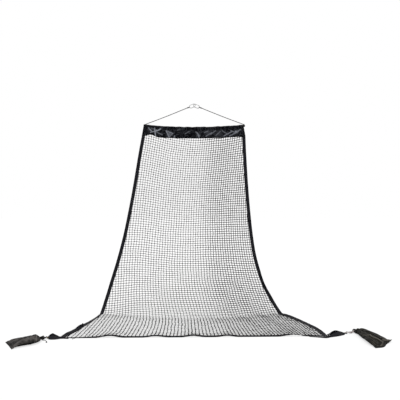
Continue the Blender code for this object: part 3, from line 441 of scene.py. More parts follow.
def tube_arrays(route: np.ndarray, radius: np.ndarray | float, sides: int, closed: bool = False,
                up: tuple = (0.0, 0.0, 1.0)) -> tuple[np.ndarray, np.ndarray]:
    """Makes the points and faces of a round tube with closed ends.

    Args:
        route: The points down its middle.
        radius: Its radius at each point.
        sides: How many sides it has.
        closed: Whether its end joins its start.
        up: A direction that its rings start near.

    Returns:
        The points and the faces.
    """
    side, lift = frames(route, up)
    count = len(route)
    radii = np.broadcast_to(np.asarray(radius, float), (count,))
    turn = 2 * np.pi * np.arange(sides) / sides
    rings = route[:, None] + radii[:, None, None] * (
        side[:, None] * np.cos(turn)[None, :, None] + lift[:, None] * np.sin(turn)[None, :, None]
    )
    faces = [grid_faces(count, sides, round_=True)]
    points = rings.reshape(-1, 3)
    ring = np.arange(sides)
    following = (ring + 1) % sides
    last = (count - 1) * sides
    if closed:
        faces.append(np.stack([last + ring, last + following, following, ring], axis=1))
    else:
        points = np.concatenate([points, route[:1], route[-1:]])
        start = np.full(sides, count * sides)
        end = start + 1
        faces.append(np.stack([following, ring, start, start], axis=1))
        faces.append(np.stack([last + ring, last + following, end, end], axis=1))
    return points, np.concatenate(faces)


def join(parts: list[tuple[np.ndarray, np.ndarray]]) -> tuple[np.ndarray, np.ndarray]:
    """Puts several lots of points and faces into one.

    Args:
        parts: Each lot's points and faces.

    Returns:
        All the points and all the faces.
    """
    points = []
    faces = []
    first = 0
    for some_points, some_faces in parts:
        points.append(some_points)
        faces.append(some_faces + first)
        first += len(some_points)
    return np.concatenate(points), np.concatenate(faces)


def rope_arrays(route: np.ndarray, radius: float, lay: float, strands: int = 3, sides: int = 6,
                taper: float = 0.0) -> tuple[np.ndarray, np.ndarray]:
    """Lays a rope of twisted strands along a line.

    Args:
        route: The points down its middle.
        radius: The rope's radius.
        lay: The length in which a strand goes once round.
        strands: How many strands it has.
        sides: How many sides a strand has.
        taper: How much the ends are drawn in, as a share of the radius.

    Returns:
        The points and the faces.
    """
    total = length_of(route)
    count = max(8, math.ceil(total / lay * 9))
    line = resample(route, count)
    side, lift = frames(line)
    thin = radius / (1 + 1 / math.sin(math.pi / strands)) * 1.12
    reach = radius - thin
    run = np.linspace(0.0, total, count)
    ends = np.clip(np.minimum(run, total - run) / (2 * radius), 0.0, 1.0)
    size = 1.0 - taper * (1.0 - np.sqrt(1 - (1 - ends) ** 2))
    parts = []
    for k in range(strands):
        turn = 2 * np.pi * (run / lay + k / strands)
        off = around(turn, side, lift)
        parts.append(tube_arrays(line + off * (reach * size)[:, None], thin * size, sides))
    return join(parts)


# Shader nodes


class Tree:
    """Writes a node tree: each call adds one node and returns an output socket."""

    def __init__(self, tree: bpy.types.NodeTree) -> None:
        """Takes the tree to write in. Args: tree, an empty node tree. Returns: nothing."""
        self.tree = tree

    def node(self, kind: str, inputs: dict | None = None, **settings: object) -> bpy.types.Node:
        """Adds a node.

        Args:
            kind: The node's type.
            inputs: A value or an output socket for each input, by name or number.
            settings: The node's own properties.

        Returns:
            The node.
        """
        node = self.tree.nodes.new(kind)
        for key, value in settings.items():
            setattr(node, key, value)
        for key, value in (inputs or {}).items():
            socket = node.inputs[key]
            if isinstance(value, bpy.types.NodeSocket):
                self.tree.links.new(value, socket)
            else:
                socket.default_value = value
        return node

    def math(self, operation: str, *values: object) -> bpy.types.NodeSocket:
        """Adds a sum. Args: the operation's name and its values or sockets. Returns: the result's socket."""
        return self.node("ShaderNodeMath", dict(enumerate(values)), operation=operation).outputs[0]

    def ramp(self, value: bpy.types.NodeSocket, low: float, high: float, start: float = 0.0,
             end: float = 1.0) -> bpy.types.NodeSocket:
        """Maps one range to another with soft ends.

        Args:
            value: What is read.
            low: Where the range starts.
            high: Where it ends.
            start: What comes out below it.
            end: What comes out above it.

        Returns:
            The result's socket.
        """
        inputs = {"Value": value, "From Min": low, "From Max": high, "To Min": start, "To Max": end}
        node = self.node("ShaderNodeMapRange", inputs, interpolation_type="SMOOTHSTEP", clamp=True)
        return node.outputs["Result"]

    def mix(self, share: object, first: object, second: object) -> bpy.types.NodeSocket:
        """Mixes two colours. Args: the second's share and the two colours. Returns: the colour's socket."""
        return self.node("ShaderNodeMix", {0: share, 6: first, 7: second}, data_type="RGBA").outputs[2]

    def noise(self, place: bpy.types.NodeSocket, scale: float, detail: float) -> bpy.types.NodeSocket:
        """Adds an uneven pattern. Args: where it is read, its scale and detail. Returns: its socket."""
        return self.node("ShaderNodeTexNoise", {"Vector": place, "Scale": scale, "Detail": detail}).outputs[0]

    def link(self, value: bpy.types.NodeSocket, node: bpy.types.Node, label: str) -> None:
        """Joins a socket to a node's input. Args: value, node, the input's label. Returns: nothing."""
        self.tree.links.new(value, node.inputs[label])

    def relief(self, height: bpy.types.NodeSocket, distance: float, shader: bpy.types.Node) -> None:
        """Roughens a shader's surface. Args: the height, its reach, the shader. Returns: nothing."""
        bump = self.node("ShaderNodeBump", {"Height": height, "Distance": distance, "Strength": 1.0})
        self.link(bump.outputs[0], shader, "Normal")


def colour(red: float, green: float, blue: float) -> tuple[float, float, float, float]:
    """Returns a solid colour as a socket takes it."""
    return (red, green, blue, 1.0)


def effect(name: str, inputs: tuple, outputs: tuple,
           write: Callable[[Tree, object], list]) -> bpy.types.NodeTree:
    """Builds a shared shader effect once.

    Args:
        name: The effect's name.
        inputs: Each input's name, socket type and usual value.
        outputs: Each output's name and socket type.
        write: Writes the nodes, given the tree and its input sockets, and returns the output sockets.

    Returns:
        The node group.
    """
    found = bpy.data.node_groups.get(name)
    if found is not None:
        return found
    group = bpy.data.node_groups.new(name, "ShaderNodeTree")
    for label, kind, value in inputs:
        group.interface.new_socket(label, in_out="INPUT", socket_type=kind).default_value = value
    for label, kind in outputs:
        group.interface.new_socket(label, in_out="OUTPUT", socket_type=kind)
    tree = Tree(group)
    given = tree.node("NodeGroupInput").outputs
    results = write(tree, given)
    end = tree.node("NodeGroupOutput")
    for place, result in enumerate(results):
        group.links.new(result, end.inputs[place])
    return group


def write_weave(tree: Tree, given: object) -> list[bpy.types.NodeSocket]:
    """Writes a plain weave from the cut's flat places.

    Args:
        tree: The group's tree.
        given: The group's inputs.

    Returns:
        The height and a shade mask.
    """
    place = tree.node("ShaderNodeUVMap", uv_map="cut").outputs[0]
    parts = tree.node("ShaderNodeSeparateXYZ", {0: place}).outputs
    across = tree.math("MULTIPLY", parts[0], given["Threads"])
    along = tree.math("MULTIPLY", parts[1], given["Threads"])
    row = tree.math("SINE", tree.math("MULTIPLY", across, 6.28319))
    column = tree.math("SINE", tree.math("MULTIPLY", along, 6.28319))
    over = tree.math("MULTIPLY", row, column)
    fuzz = tree.noise(place, 900.0, 2.0)
    height = tree.math("ADD", tree.math("MULTIPLY", over, 0.5), tree.math("MULTIPLY", fuzz, 0.6))
    blotch = tree.noise(place, 14.0, 4.0)
    return [height, tree.ramp(blotch, 0.35, 0.7)]


def weave() -> bpy.types.NodeTree:
    """Finds or makes the shared weave effect.

    Args:
        None.

    Returns:
        The node group.
    """
    inputs = (("Threads", "NodeSocketFloat", 500.0),)
    outputs = (("Height", "NodeSocketFloat"), ("Shade", "NodeSocketFloat"))
    return effect("weave", inputs, outputs, write_weave)


def write_dust_and_lit_top(tree: Tree, given: object) -> list[bpy.types.NodeSocket]:
    """Writes a mask of dust on faces that look up, which also paints those faces lighter as painted light
    from above.

    Args:
        tree: The group's tree.
        given: The group's inputs.

    Returns:
        The mask.
    """
    up = tree.node("ShaderNodeSeparateXYZ", {0: tree.node("ShaderNodeNewGeometry").outputs["Normal"]})
    place = tree.node("ShaderNodeTexCoord").outputs["Object"]
    patch = tree.noise(place, 9.0, 6.0)
    speck = tree.noise(place, 260.0, 2.0)
    # Faces that look up get more: partly settled dust, partly painted light from above.
    level = tree.ramp(up.outputs[2], 0.1, 0.95)
    patches = tree.math("MULTIPLY", level, tree.ramp(patch, 0.42, 0.68))
    specks = tree.ramp(speck, 0.60, 0.72)
    both = tree.math("ADD", tree.math("MULTIPLY", patches, 0.7), tree.math("MULTIPLY", specks, 0.3))
    return [tree.math("MULTIPLY", both, given["Amount"])]


def dust() -> bpy.types.NodeTree:
    """Finds or makes the shared effect of dust and painted light from above.

    Args:
        None.

    Returns:
        The node group.
    """
    inputs = (("Amount", "NodeSocketFloat", 0.5),)
    return effect("dust", inputs, (("Mask", "NodeSocketFloat"),), write_dust_and_lit_top)


def write_wear(tree: Tree, given: object) -> list[bpy.types.NodeSocket]:
    """Writes a mask of rubbed edges and scratches.

    Args:
        tree: The group's tree.
        given: The group's inputs.

    Returns:
        The rubbed mask and the scratches' height.
    """
    geometry = tree.node("ShaderNodeNewGeometry")
    place = tree.node("ShaderNodeTexCoord").outputs["Object"]
    patch = tree.noise(place, 120.0, 5.0)
    edge = tree.ramp(geometry.outputs["Pointiness"], 0.50, 0.56)
    wear_and_highlight = tree.math("MULTIPLY", edge, tree.ramp(patch, 0.35, 0.6))
    fine = tree.noise(place, 1400.0, 2.0)
    return [tree.math("MULTIPLY", wear_and_highlight, given["Amount"]), fine]


def wear() -> bpy.types.NodeTree:
    """Finds or makes the shared edge wear effect.

    Args:
        None.

    Returns:
        The node group.
    """
    inputs = (("Amount", "NodeSocketFloat", 1.0),)
    outputs = (("Rubbed", "NodeSocketFloat"), ("Scratches", "NodeSocketFloat"))
    return effect("edge_wear", inputs, outputs, write_wear)


def new_material(name: str, roughness: float, metallic: float = 0.0) -> tuple[bpy.types.Material, Tree,
                                                                              bpy.types.Node]:
    """Starts a material.

    Args:
        name: The finish's name.
        roughness: Its usual roughness.
        metallic: Whether it is metal.

    Returns:
        The material, its tree and its shader.
    """
    material = bpy.data.materials.new(name)
    material.use_nodes = True
    shader = material.node_tree.nodes["Principled BSDF"]
    shader.inputs["Roughness"].default_value = roughness
    shader.inputs["Metallic"].default_value = metallic
    return material, Tree(material.node_tree), shader


@dataclass(frozen=True)
class Woven:
    """A woven or coated cloth."""

    name: str
    dark: tuple
    light: tuple
    dusty: tuple
    threads: float = 500.0
    roughness: float = 0.7
    relief: float = 0.00025
    # This amount and the third colour lighten faces that look up: partly dust, partly painted light from
    # above.
    dust_amount: float = 0.25
    sheen: float = 0.0
    gloss: float = 0.5
    # The colour of painted highlights along creases and folds.
    creased: tuple = (0.15, 0.16, 0.18, 1.0)
    rough_span: float = 0.06
    sheen_roughness: float = 0.5

    def build(self) -> bpy.types.Material:
        """Makes the material.

        Args:
            None.

        Returns:
            The material.
        """
        material, tree, shader = new_material(self.name, self.roughness)
        shader.inputs["Specular IOR Level"].default_value = self.gloss
        cloth = tree.node("ShaderNodeGroup", node_tree=weave())
        cloth.inputs["Threads"].default_value = self.threads
        # This mask lightens faces that look up, partly dust and partly painted light from above.
        settled = tree.node("ShaderNodeGroup", node_tree=dust())
        settled.inputs["Amount"].default_value = self.dust_amount
        base = tree.mix(cloth.outputs["Shade"], self.dark, self.light)
        base = tree.mix(settled.outputs["Mask"], base, self.dusty)
        # The crease attribute paints highlights into the base colour.
        crease = tree.node("ShaderNodeAttribute", attribute_name="crease").outputs["Fac"]
        tree.link(tree.mix(crease, base, self.creased), shader, "Base Color")
        dull, shiny = self.roughness + self.rough_span, self.roughness - self.rough_span
        rough = tree.ramp(cloth.outputs["Shade"], 0.0, 1.0, shiny, dull)
        tree.link(rough, shader, "Roughness")
        tree.relief(cloth.outputs["Height"], self.relief, shader)
        shader.inputs["Sheen Weight"].default_value = self.sheen
        shader.inputs["Sheen Roughness"].default_value = self.sheen_roughness
        return material


@dataclass(frozen=True)
class Fibre:
    """A cord or twine of twisted fibres."""

    name: str
    dark: tuple
    light: tuple
    roughness: float = 0.8
    gloss: float = 0.15
    relief: float = 0.0003
    patch_scale: float = 35.0
    hair_scale: float = 2500.0
    patch_range: tuple = (0.35, 0.65)

    def build(self) -> bpy.types.Material:
        """Makes the material.

        Args:
            None.

        Returns:
            The material.
        """
        material, tree, shader = new_material(self.name, self.roughness)
        place = tree.node("ShaderNodeTexCoord").outputs["Object"]
        patch = tree.noise(place, self.patch_scale, 4.0)
        hairs = tree.noise(place, self.hair_scale, 2.0)
        share = tree.ramp(patch, *self.patch_range)
        tree.link(tree.mix(share, self.dark, self.light), shader, "Base Color")
        tree.relief(hairs, self.relief, shader)
        shader.inputs["Specular IOR Level"].default_value = self.gloss
        return material


@dataclass(frozen=True)
class Metal:
    """A plated or plain metal, rubbed at its edges."""

    name: str
    plate: tuple
    worn: tuple
    roughness: float = 0.3
    metallic: float = 1.0
    relief: float = 0.00005
    cloud_scale: float = 60.0
    rough_steps: tuple = (0.08, 0.12)

    def build(self) -> bpy.types.Material:
        """Makes the material.

        Args:
            None.

        Returns:
            The material.
        """
        material, tree, shader = new_material(self.name, self.roughness, self.metallic)
        wear_and_highlight = tree.node("ShaderNodeGroup", node_tree=wear())
        base = tree.mix(wear_and_highlight.outputs["Rubbed"], self.plate, self.worn)
        tree.link(base, shader, "Base Color")
        place = tree.node("ShaderNodeTexCoord").outputs["Object"]
        cloud = tree.noise(place, self.cloud_scale, 5.0)
        below, above = self.rough_steps
        rough = tree.ramp(cloud, 0.3, 0.7, self.roughness - below, self.roughness + above)
        tree.link(rough, shader, "Roughness")
        tree.relief(wear_and_highlight.outputs["Scratches"], self.relief, shader)
        return material


TWINE = Fibre("twine", colour(0.006, 0.006, 0.006), colour(0.014, 0.012, 0.011))
BLACK_CORD = Fibre("black_cord", colour(0.006, 0.006, 0.006), colour(0.014, 0.013, 0.013))
WHITE_CORD = Fibre("white_cord", colour(0.20, 0.155, 0.15), colour(0.56, 0.51, 0.50))
# The coated fabric's last colour is its painted highlight along the sleeve's creases, partly whitened
# coating.
COATED = Woven("coated_fabric", colour(0.0008, 0.0008, 0.0014), colour(0.003, 0.0034, 0.0052),
               colour(0.04, 0.04, 0.05), 900.0, 0.34, 0.00006, 0.02, 0.0, 0.025, colour(0.38, 0.40, 0.45))
WEBBING = Woven("webbing", colour(0.006, 0.006, 0.008), colour(0.014, 0.014, 0.019),
                colour(0.09, 0.08, 0.07), 480.0, 0.75, 0.00022, 0.22, 0.0, 0.12)
# Both bag cloths lighten faces that look up in their third colour, partly dust and partly painted light from
# above.
GREY_BAG_CLOTH = Woven("grey_bag_cloth", colour(0.003, 0.003, 0.003), colour(0.011, 0.0105, 0.010),
                       colour(0.190, 0.172, 0.160), 620.0, 0.62, 0.00015, 0.72, 0.0, 0.06,
                       colour(0.20, 0.185, 0.175))
BLACK_BAG_CLOTH = Woven("black_bag_cloth", colour(0.003, 0.003, 0.0028), colour(0.008, 0.0076, 0.006),
                        colour(0.085, 0.076, 0.056), 620.0, 0.62, 0.00015, 0.16, 0.0, 0.06,
                        colour(0.20, 0.185, 0.155))
HOOK_STEEL = Metal("hook_steel", colour(0.60, 0.61, 0.62), colour(0.36, 0.35, 0.34), 0.28)
POLE_STEEL = Metal("pole_steel", colour(0.34, 0.35, 0.36), colour(0.22, 0.20, 0.18), 0.38)
BRASS = Metal("eyelet_brass", colour(0.55, 0.43, 0.20), colour(0.68, 0.60, 0.42), 0.34)
CAP_PLASTIC = Metal("cap_plastic", colour(0.018, 0.018, 0.020), colour(0.06, 0.06, 0.06), 0.45, 0.0)


# The camera, the light and the ground


@dataclass(frozen=True)
class Studio:
    """Where the picture is taken."""

    eye: tuple = (0.083, -7.03, -1.446)
    focal_pixels: float = 475.0
    picture: float = 400.0
    horizon_row: float = 203.0
    sensor: float = 36.0
    clip: tuple = (0.02, 100.0)
    unseen_light: float = 0.55
    lamps: tuple = (("key", (0.75, 0.12, -0.35), 1.3), ("fill", (1.15, 0.0, 0.9), 0.4))
    lamp_angle: float = 0.5
    floor_half: float = 40.0
    floor_grey: float = 0.42
    floor_glow: float = 0.66

    def place_camera(self) -> None:
        """Sets the camera up.

        Args:
            None.

        Returns:
            Nothing.
        """
        data = bpy.data.cameras.new("camera")
        data.sensor_width = self.sensor
        data.lens = self.sensor * self.focal_pixels / self.picture
        data.shift_y = (self.horizon_row - self.picture / 2) / self.picture
        data.clip_start, data.clip_end = self.clip
        camera = bpy.data.objects.new("camera", data)
        camera.location = self.eye
        camera.rotation_euler = (math.pi / 2, 0.0, 0.0)
        bpy.context.scene.collection.objects.link(camera)
        bpy.context.scene.camera = camera

    def white_to_camera(self, tree: Tree) -> bpy.types.NodeSocket:
        """Finds the rays that see the background.

        Args:
            tree: A material's or the world's tree.

        Returns:
            A mask of them.
        """
        path = tree.node("ShaderNodeLightPath").outputs
        seen = tree.math("MAXIMUM", path["Is Camera Ray"], path["Is Glossy Ray"])
        return tree.math("MAXIMUM", seen, path["Is Transmission Ray"])

    def light(self) -> None:
        """Lights the net evenly, with a soft key from above.

        Args:
            None.

        Returns:
            Nothing.
        """
        world = bpy.data.worlds.new("studio")
        bpy.context.scene.world = world
        world.use_nodes = True
        tree = Tree(world.node_tree)
        background = world.node_tree.nodes["Background"]
        background.inputs["Color"].default_value = colour(1.0, 1.0, 1.0)
        strength = tree.ramp(self.white_to_camera(tree), 0.0, 1.0, self.unseen_light, 1.0)
        tree.link(strength, background, "Strength")
        for name, turn, energy in self.lamps:
            data = bpy.data.lights.new(name, "SUN")
            data.energy = energy
            data.angle = self.lamp_angle
            lamp = bpy.data.objects.new(name, data)
            lamp.rotation_euler = turn
            bpy.context.scene.collection.objects.link(lamp)

    def lay_floor(self) -> None:
        """Lays a white floor that keeps the net's shadow.

        Args:
            None.

        Returns:
            Nothing.
        """
        material = bpy.data.materials.new("floor")
        material.use_nodes = True
        tree = Tree(material.node_tree)
        shader = material.node_tree.nodes["Principled BSDF"]
        shader.inputs["Base Color"].default_value = colour(self.floor_grey, self.floor_grey, self.floor_grey)
        shader.inputs["Roughness"].default_value = 1.0
        shader.inputs["Specular IOR Level"].default_value = 0.0
        shader.inputs["Emission Color"].default_value = colour(1.0, 1.0, 1.0)
        path = tree.node("ShaderNodeLightPath").outputs
        glow = tree.ramp(path["Is Camera Ray"], 0.0, 1.0, 0.0, self.floor_glow)
        tree.link(glow, shader, "Emission Strength")
        size = self.floor_half
        points = np.array([(x * size, y * size, FLOOR) for x, y in ((-1, -1), (1, -1), (1, 1), (-1, 1))])
        floor = mesh_object("floor", points, np.array([[0, 1, 2, 3]]), material)


# The curtain's shape


@dataclass(frozen=True)
class Curtain:
    """How the cloth hangs from the pole and runs out over the floor."""

    length: float = 3.93
    thickness: float = 0.003
    bottom_half: float = 1.60
    bend: float = 0.05
    middle_bend: float = 0.14
    slack_start: float = 0.30
    hem_skew: float = 0.045
    stations: tuple = (0, 0.10, 0.25, 0.40, 0.50, 0.60, 0.70, 0.76, 0.84, 0.92, 1)
    left_shares: tuple = (0, 0.085, 0.20, 0.335, 0.45, 0.585, 0.71, 0.745, 0.815, 0.88, 0.98)
    right_shares: tuple = (0, 0.018, 0.06, 0.125, 0.20, 0.35, 0.60, 0.745, 0.88, 0.985, 1.02)
    fold_height: float = 0.034
    folds: tuple = ((-0.66, 0.22, 0.30), (-0.20, 0.20, 0.35), (0.16, 0.17, 0.60), (0.42, 0.14, 0.85),
                    (0.66, 0.13, 1.0), (0.85, 0.10, 0.60))
    folds_down: tuple = ((0, 0), (0.03, 0.20), (0.25, 0.75), (0.55, 1), (0.72, 0.45), (0.85, 0.15), (1, 0))
    ripple_height: float = 0.022
    ripple_reach: float = 0.42
    ripples: tuple = ((-0.63, 0.12, 1.0), (-0.29, 0.11, 0.70), (-0.01, 0.10, 0.75), (0.245, 0.10, 0.70),
                      (0.74, 0.13, 0.95))
    sleeve_drop: float = 0.156
    scallop_rise: float = 0.034
    hem_width: float = 0.025
    hem_fades: float = 0.20
    hem_tilts: tuple = ((-1.50, 0.0), (-1.37, 0.0), (-1.25, 0.007), (-1.0, 0.011), (-0.5, 0.010),
                        (0.0, 0.012),
                        (0.5, 0.011), (1.0, 0.011), (1.15, 0.008), (1.20, -0.006), (1.28, -0.006),
                        (1.34, 0.008), (1.46, 0.006), (1.53, 0.0))
    seat: float = 0.0004
    front_step: float = 0.002
    scallops: tuple = ((-0.83, 0.17, 1.0),)

    @property
    def floor(self) -> float:
        """Returns the height of the cloth's middle where it lies on the floor."""
        return FLOOR + self.thickness / 2 + self.seat

    @property
    def hang_height(self) -> float:
        """Returns the drop from the pole to the floor."""
        return -POLE_DROP - self.floor

    @property
    def hang_length(self) -> float:
        """Returns how much of the length hangs."""
        return math.sqrt(self.hang_height ** 2 + 2 * self.bend * self.hang_height)

    @property
    def touch(self) -> float:
        """Returns how far to the front the cloth meets the floor."""
        return -self.bend * math.asinh(self.hang_length / self.bend)

    @property
    def hem(self) -> float:
        """Returns how far to the front the cloth's lower edge lies."""
        return self.touch - (self.length - self.hang_length)

    def edges(self, down: np.ndarray) -> tuple[np.ndarray, np.ndarray]:
        """Finds the side edges.

        Args:
            down: Distances down the length.

        Returns:
            The left and the right edge's place across.
        """
        share = np.asarray(down, float) / self.length
        spread = self.bottom_half - TOP_HALF
        left = -TOP_HALF - spread * hermite(tuple(zip(self.stations, self.left_shares)), share)
        right = TOP_HALF + spread * hermite(tuple(zip(self.stations, self.right_shares)), share)
        return left, right

    def across(self, x: np.ndarray, down: np.ndarray) -> np.ndarray:
        """Finds where a place lies between the edges.

        Args:
            x: Places across.
            down: Distances down the length.

        Returns:
            -1 at the left edge to 1 at the right one.
        """
        left, right = self.edges(down)
        return (2 * x - left - right) / (right - left)

    def lift(self, x: np.ndarray, down: np.ndarray) -> np.ndarray:
        """Finds how far folds and ripples stand out.

        Args:
            x: Places across.
            down: Distances down the length.

        Returns:
            The distance to the front.
        """
        across = self.across(x, down)
        folds = self.fold_height * bumps(across, self.folds) * hermite(self.folds_down, down / self.length)
        fade = np.maximum(0.0, 1.0 - (self.length - down) / self.ripple_reach) ** 2
        return folds + self.ripple_height * bumps(across, self.ripples) * fade + self.hem_tilt(x, down)

    def hem_tilt(self, x: np.ndarray, down: np.ndarray) -> np.ndarray:
        """Finds how far the hem's tape is tipped up at its rear edge, or at its front one.

        Args:
            x: Places across.
            down: Distances down the length.

        Returns:
            The rise.
        """
        back = self.length - down
        tilt = hermite(self.hem_tilts, x)
        front = np.clip(1.0 - back / self.hem_width, 0.0, 1.0)
        fade = np.clip(1.0 - (back - self.hem_width) / self.hem_fades, 0.0, 1.0)
        rear = np.minimum(1.0 - front, ease(fade))
        return np.maximum(tilt, 0.0) * rear + np.maximum(-tilt, 0.0) * front

    def place(self, x: np.ndarray, down: np.ndarray, out: np.ndarray | float = 0.0) -> np.ndarray:
        """Finds points of the hanging cloth.

        Args:
            x: Places across.
            down: Distances down the length.
            out: Distances to the cloth's front.

        Returns:
            The points.
        """
        x, down, out = np.broadcast_arrays(np.asarray(x, float), np.asarray(down, float), out)
        across = self.across(x, down)
        bend = self.bend + (self.middle_bend - self.bend) * np.maximum(0.0, 1.0 - across ** 2) ** 1.5
        hang = np.sqrt(self.hang_height ** 2 + 2 * bend * self.hang_height)
        touch = -bend * np.arcsinh(hang / bend)
        spare = self.length - (hang + touch - self.hem)
        taken = np.clip((down - self.slack_start) / (self.length - self.slack_start), 0.0, 1.0)
        along = hang - down + spare * taken
        hanging = np.maximum(along, 0.0)
        height = np.sqrt(bend ** 2 + hanging ** 2) - bend
        y = touch + bend * np.arcsinh(hanging / bend) + np.minimum(along, 0.0)
        slope = np.arctan2(hanging, bend)
        sag = -POLE_SAG * (1.0 - across ** 2) * height / self.hang_height
        run = self.length - self.hang_length
        skew = self.hem_skew * across * np.maximum(0.0, -along) / run
        out = out + self.lift(x, down)
        z = self.floor + height + sag + out * np.cos(slope)
        return np.stack([x, y + skew - out * np.sin(slope), z], axis=-1)

    def front(self, x: np.ndarray, down: np.ndarray) -> np.ndarray:
        """Finds the direction that the cloth's front looks in.

        Args:
            x: Places across.
            down: Distances down the length.

        Returns:
            A unit direction at each place.
        """
        step = self.front_step
        sideways = self.place(x + step, down) - self.place(x - step, down)
        downward = self.place(x, down + step) - self.place(x, down - step)
        return unit(np.cross(downward, sideways))

    def sleeve_hem(self, x: np.ndarray) -> np.ndarray:
        """Finds how far down the sleeve reaches. Args: x, places across. Returns: the distances."""
        across = self.across(x, np.full(np.shape(x), self.sleeve_drop))
        return self.sleeve_drop - self.scallop_rise * bumps(across, self.scallops)


CURTAIN = Curtain()


# The netting


def open_group(name: str, inputs: tuple, output: str) -> tuple[bpy.types.NodeTree, Tree, object]:
    """Starts a group of geometry nodes.

    Args:
        name: The group's name.
        inputs: Each input's name and kind.
        output: The name of the shape that comes out.

    Returns:
        The group, its tree and its input sockets.
    """
    group = bpy.data.node_groups.new(name, "GeometryNodeTree")
    for label, kind in inputs:
        group.interface.new_socket(label, in_out="INPUT", socket_type="NodeSocket" + kind)
    group.interface.new_socket(output, in_out="OUTPUT", socket_type="NodeSocketGeometry")
    tree = Tree(group)
    return group, tree, tree.node("NodeGroupInput").outputs


def close_group(tree: Tree, shape: bpy.types.NodeSocket, material: bpy.types.NodeSocket) -> None:
    """Makes a group's result real and smooth, in its material.

    Args:
        tree: The group's tree.
        shape: What has been grown.
        material: What it is made of.

    Returns:
        Nothing.
    """
    real = tree.node("GeometryNodeRealizeInstances", {0: shape}).outputs[0]
    smooth = tree.node("GeometryNodeSetShadeSmooth", {0: real}).outputs[0]
    dressed = tree.node("GeometryNodeSetMaterial", {"Geometry": smooth, "Material": material})
    tree.node("NodeGroupOutput", {0: dressed.outputs[0]})


def direction(tree: Tree, label: str) -> bpy.types.NodeSocket:
    """Returns the direction that a guide's points keep under a name."""
    return tree.node("GeometryNodeInputNamedAttribute", {"Name": label}, data_type="FLOAT_VECTOR").outputs[0]


def strand_tree() -> bpy.types.NodeTree:
    """Writes the nodes that turn guide lines into flat braided strands.

    Args:
        None.

    Returns:
        The node group, with a width, a thickness, a count of sides and a material to set.
    """
    inputs = (("Guides", "Geometry"), ("Width", "Float"), ("Thickness", "Float"), ("Sides", "Int"),
              ("Material", "Material"))
    group, tree, given = open_group("strands", inputs, "Strands")
    lines = tree.node("GeometryNodeMeshToCurve", {"Mesh": given["Guides"]}).outputs[0]
    front = direction(tree, "front")
    full = tree.node("GeometryNodeInputNamedAttribute", {"Name": "full"}, data_type="FLOAT").outputs[0]
    faced = tree.node("GeometryNodeSetCurveNormal", {"Curve": lines, "Normal": front}, mode="FREE").outputs[0]
    circle = tree.node("GeometryNodeCurvePrimitiveCircle", {"Resolution": given["Sides"], "Radius": 0.5})
    size = tree.node("ShaderNodeCombineXYZ", {0: given["Thickness"], 1: given["Width"], 2: 1.0}).outputs[0]
    flat = tree.node("GeometryNodeTransform", {"Geometry": circle.outputs[0], "Scale": size}).outputs[0]
    swept = tree.node("GeometryNodeCurveToMesh", {"Curve": faced, "Profile Curve": flat, "Scale": full})
    swept.inputs["Fill Caps"].default_value = True
    close_group(tree, swept.outputs[0], given["Material"])
    return group


def scatter_tree() -> bpy.types.NodeTree:
    """Writes the nodes that set one small shape on each point of a guide.

    Args:
        None.

    Returns:
        The node group, with the shape, a seed, a spread of sizes and a material to set.
    """
    inputs = (("Guides", "Geometry"), ("Shape", "Object"), ("Seed", "Int"), ("Uneven", "Float"),
              ("Material", "Material"))
    group, tree, given = open_group("scatter", inputs, "Pieces")
    shape = tree.node("GeometryNodeObjectInfo", {"Object": given["Shape"]}).outputs["Geometry"]
    lying = {"Vector": direction(tree, "along")}
    first = tree.node("FunctionNodeAlignRotationToVector", lying, axis="X").outputs[0]
    facing = {"Rotation": first, "Vector": direction(tree, "front")}
    turned = tree.node("FunctionNodeAlignRotationToVector", facing, axis="Z", pivot_axis="X").outputs[0]
    low = tree.math("SUBTRACT", 1.0, given["Uneven"])
    high = tree.math("ADD", 1.0, given["Uneven"])
    drawn = {2: low, 3: high, "Seed": given["Seed"]}
    size = tree.node("FunctionNodeRandomValue", drawn, data_type="FLOAT").outputs[1]
    placed = {"Points": given["Guides"], "Instance": shape, "Rotation": turned, "Scale": size}
    close_group(tree, tree.node("GeometryNodeInstanceOnPoints", placed).outputs[0], given["Material"])
    return group


def run_nodes(name: str, guide: bpy.types.Mesh, group: bpy.types.NodeTree,
              **values: object) -> bpy.types.Object:
    """Grows a piece from a guide and keeps the result as a plain mesh.

    Args:
        name: The piece's name.
        guide: The guide's mesh.
        group: The geometry nodes to run.
        values: What the group's named inputs are set to.

    Returns:
        The piece.
    """
    obj = bpy.data.objects.new(name, guide)
    bpy.context.scene.collection.objects.link(obj)
    modifier = obj.modifiers.new("grow", "NODES")
    modifier.node_group = group
    for item in group.interface.items_tree:
        if item.item_type == "SOCKET" and item.in_out == "INPUT" and item.name in values:
            modifier[item.identifier] = values[item.name]
    bpy.context.view_layer.update()
    grown = bpy.data.meshes.new_from_object(obj.evaluated_get(bpy.context.evaluated_depsgraph_get()))
    obj.modifiers.clear()
    obj.data = grown
    grown.name = name
    bpy.data.meshes.remove(guide)
    return obj


def line_guide(name: str, lines: list[np.ndarray], fronts: list[np.ndarray],
               full: list[np.ndarray]) -> bpy.types.Mesh:
    """Makes a guide of separate lines that know which way they face.

    Args:
        name: The guide's name.
        lines: Each line's points.
        fronts: The direction that the cloth faces at each point.
        full: The strand's fullness at each point, 1 as a rule.

    Returns:
        The guide's mesh.
    """
    mesh = bpy.data.meshes.new(name + "_guide")
    edges = []
    first = 0
    for line in lines:
        edges += [(first + i, first + i + 1) for i in range(len(line) - 1)]
        first += len(line)
    mesh.from_pydata(np.concatenate(lines).tolist(), edges, [])
    attribute = mesh.attributes.new("front", "FLOAT_VECTOR", "POINT")
    attribute.data.foreach_set("vector", np.concatenate(fronts).astype(np.float32).ravel())
    attribute = mesh.attributes.new("full", "FLOAT", "POINT")
    attribute.data.foreach_set("value", np.concatenate(full).astype(np.float32))
    return mesh


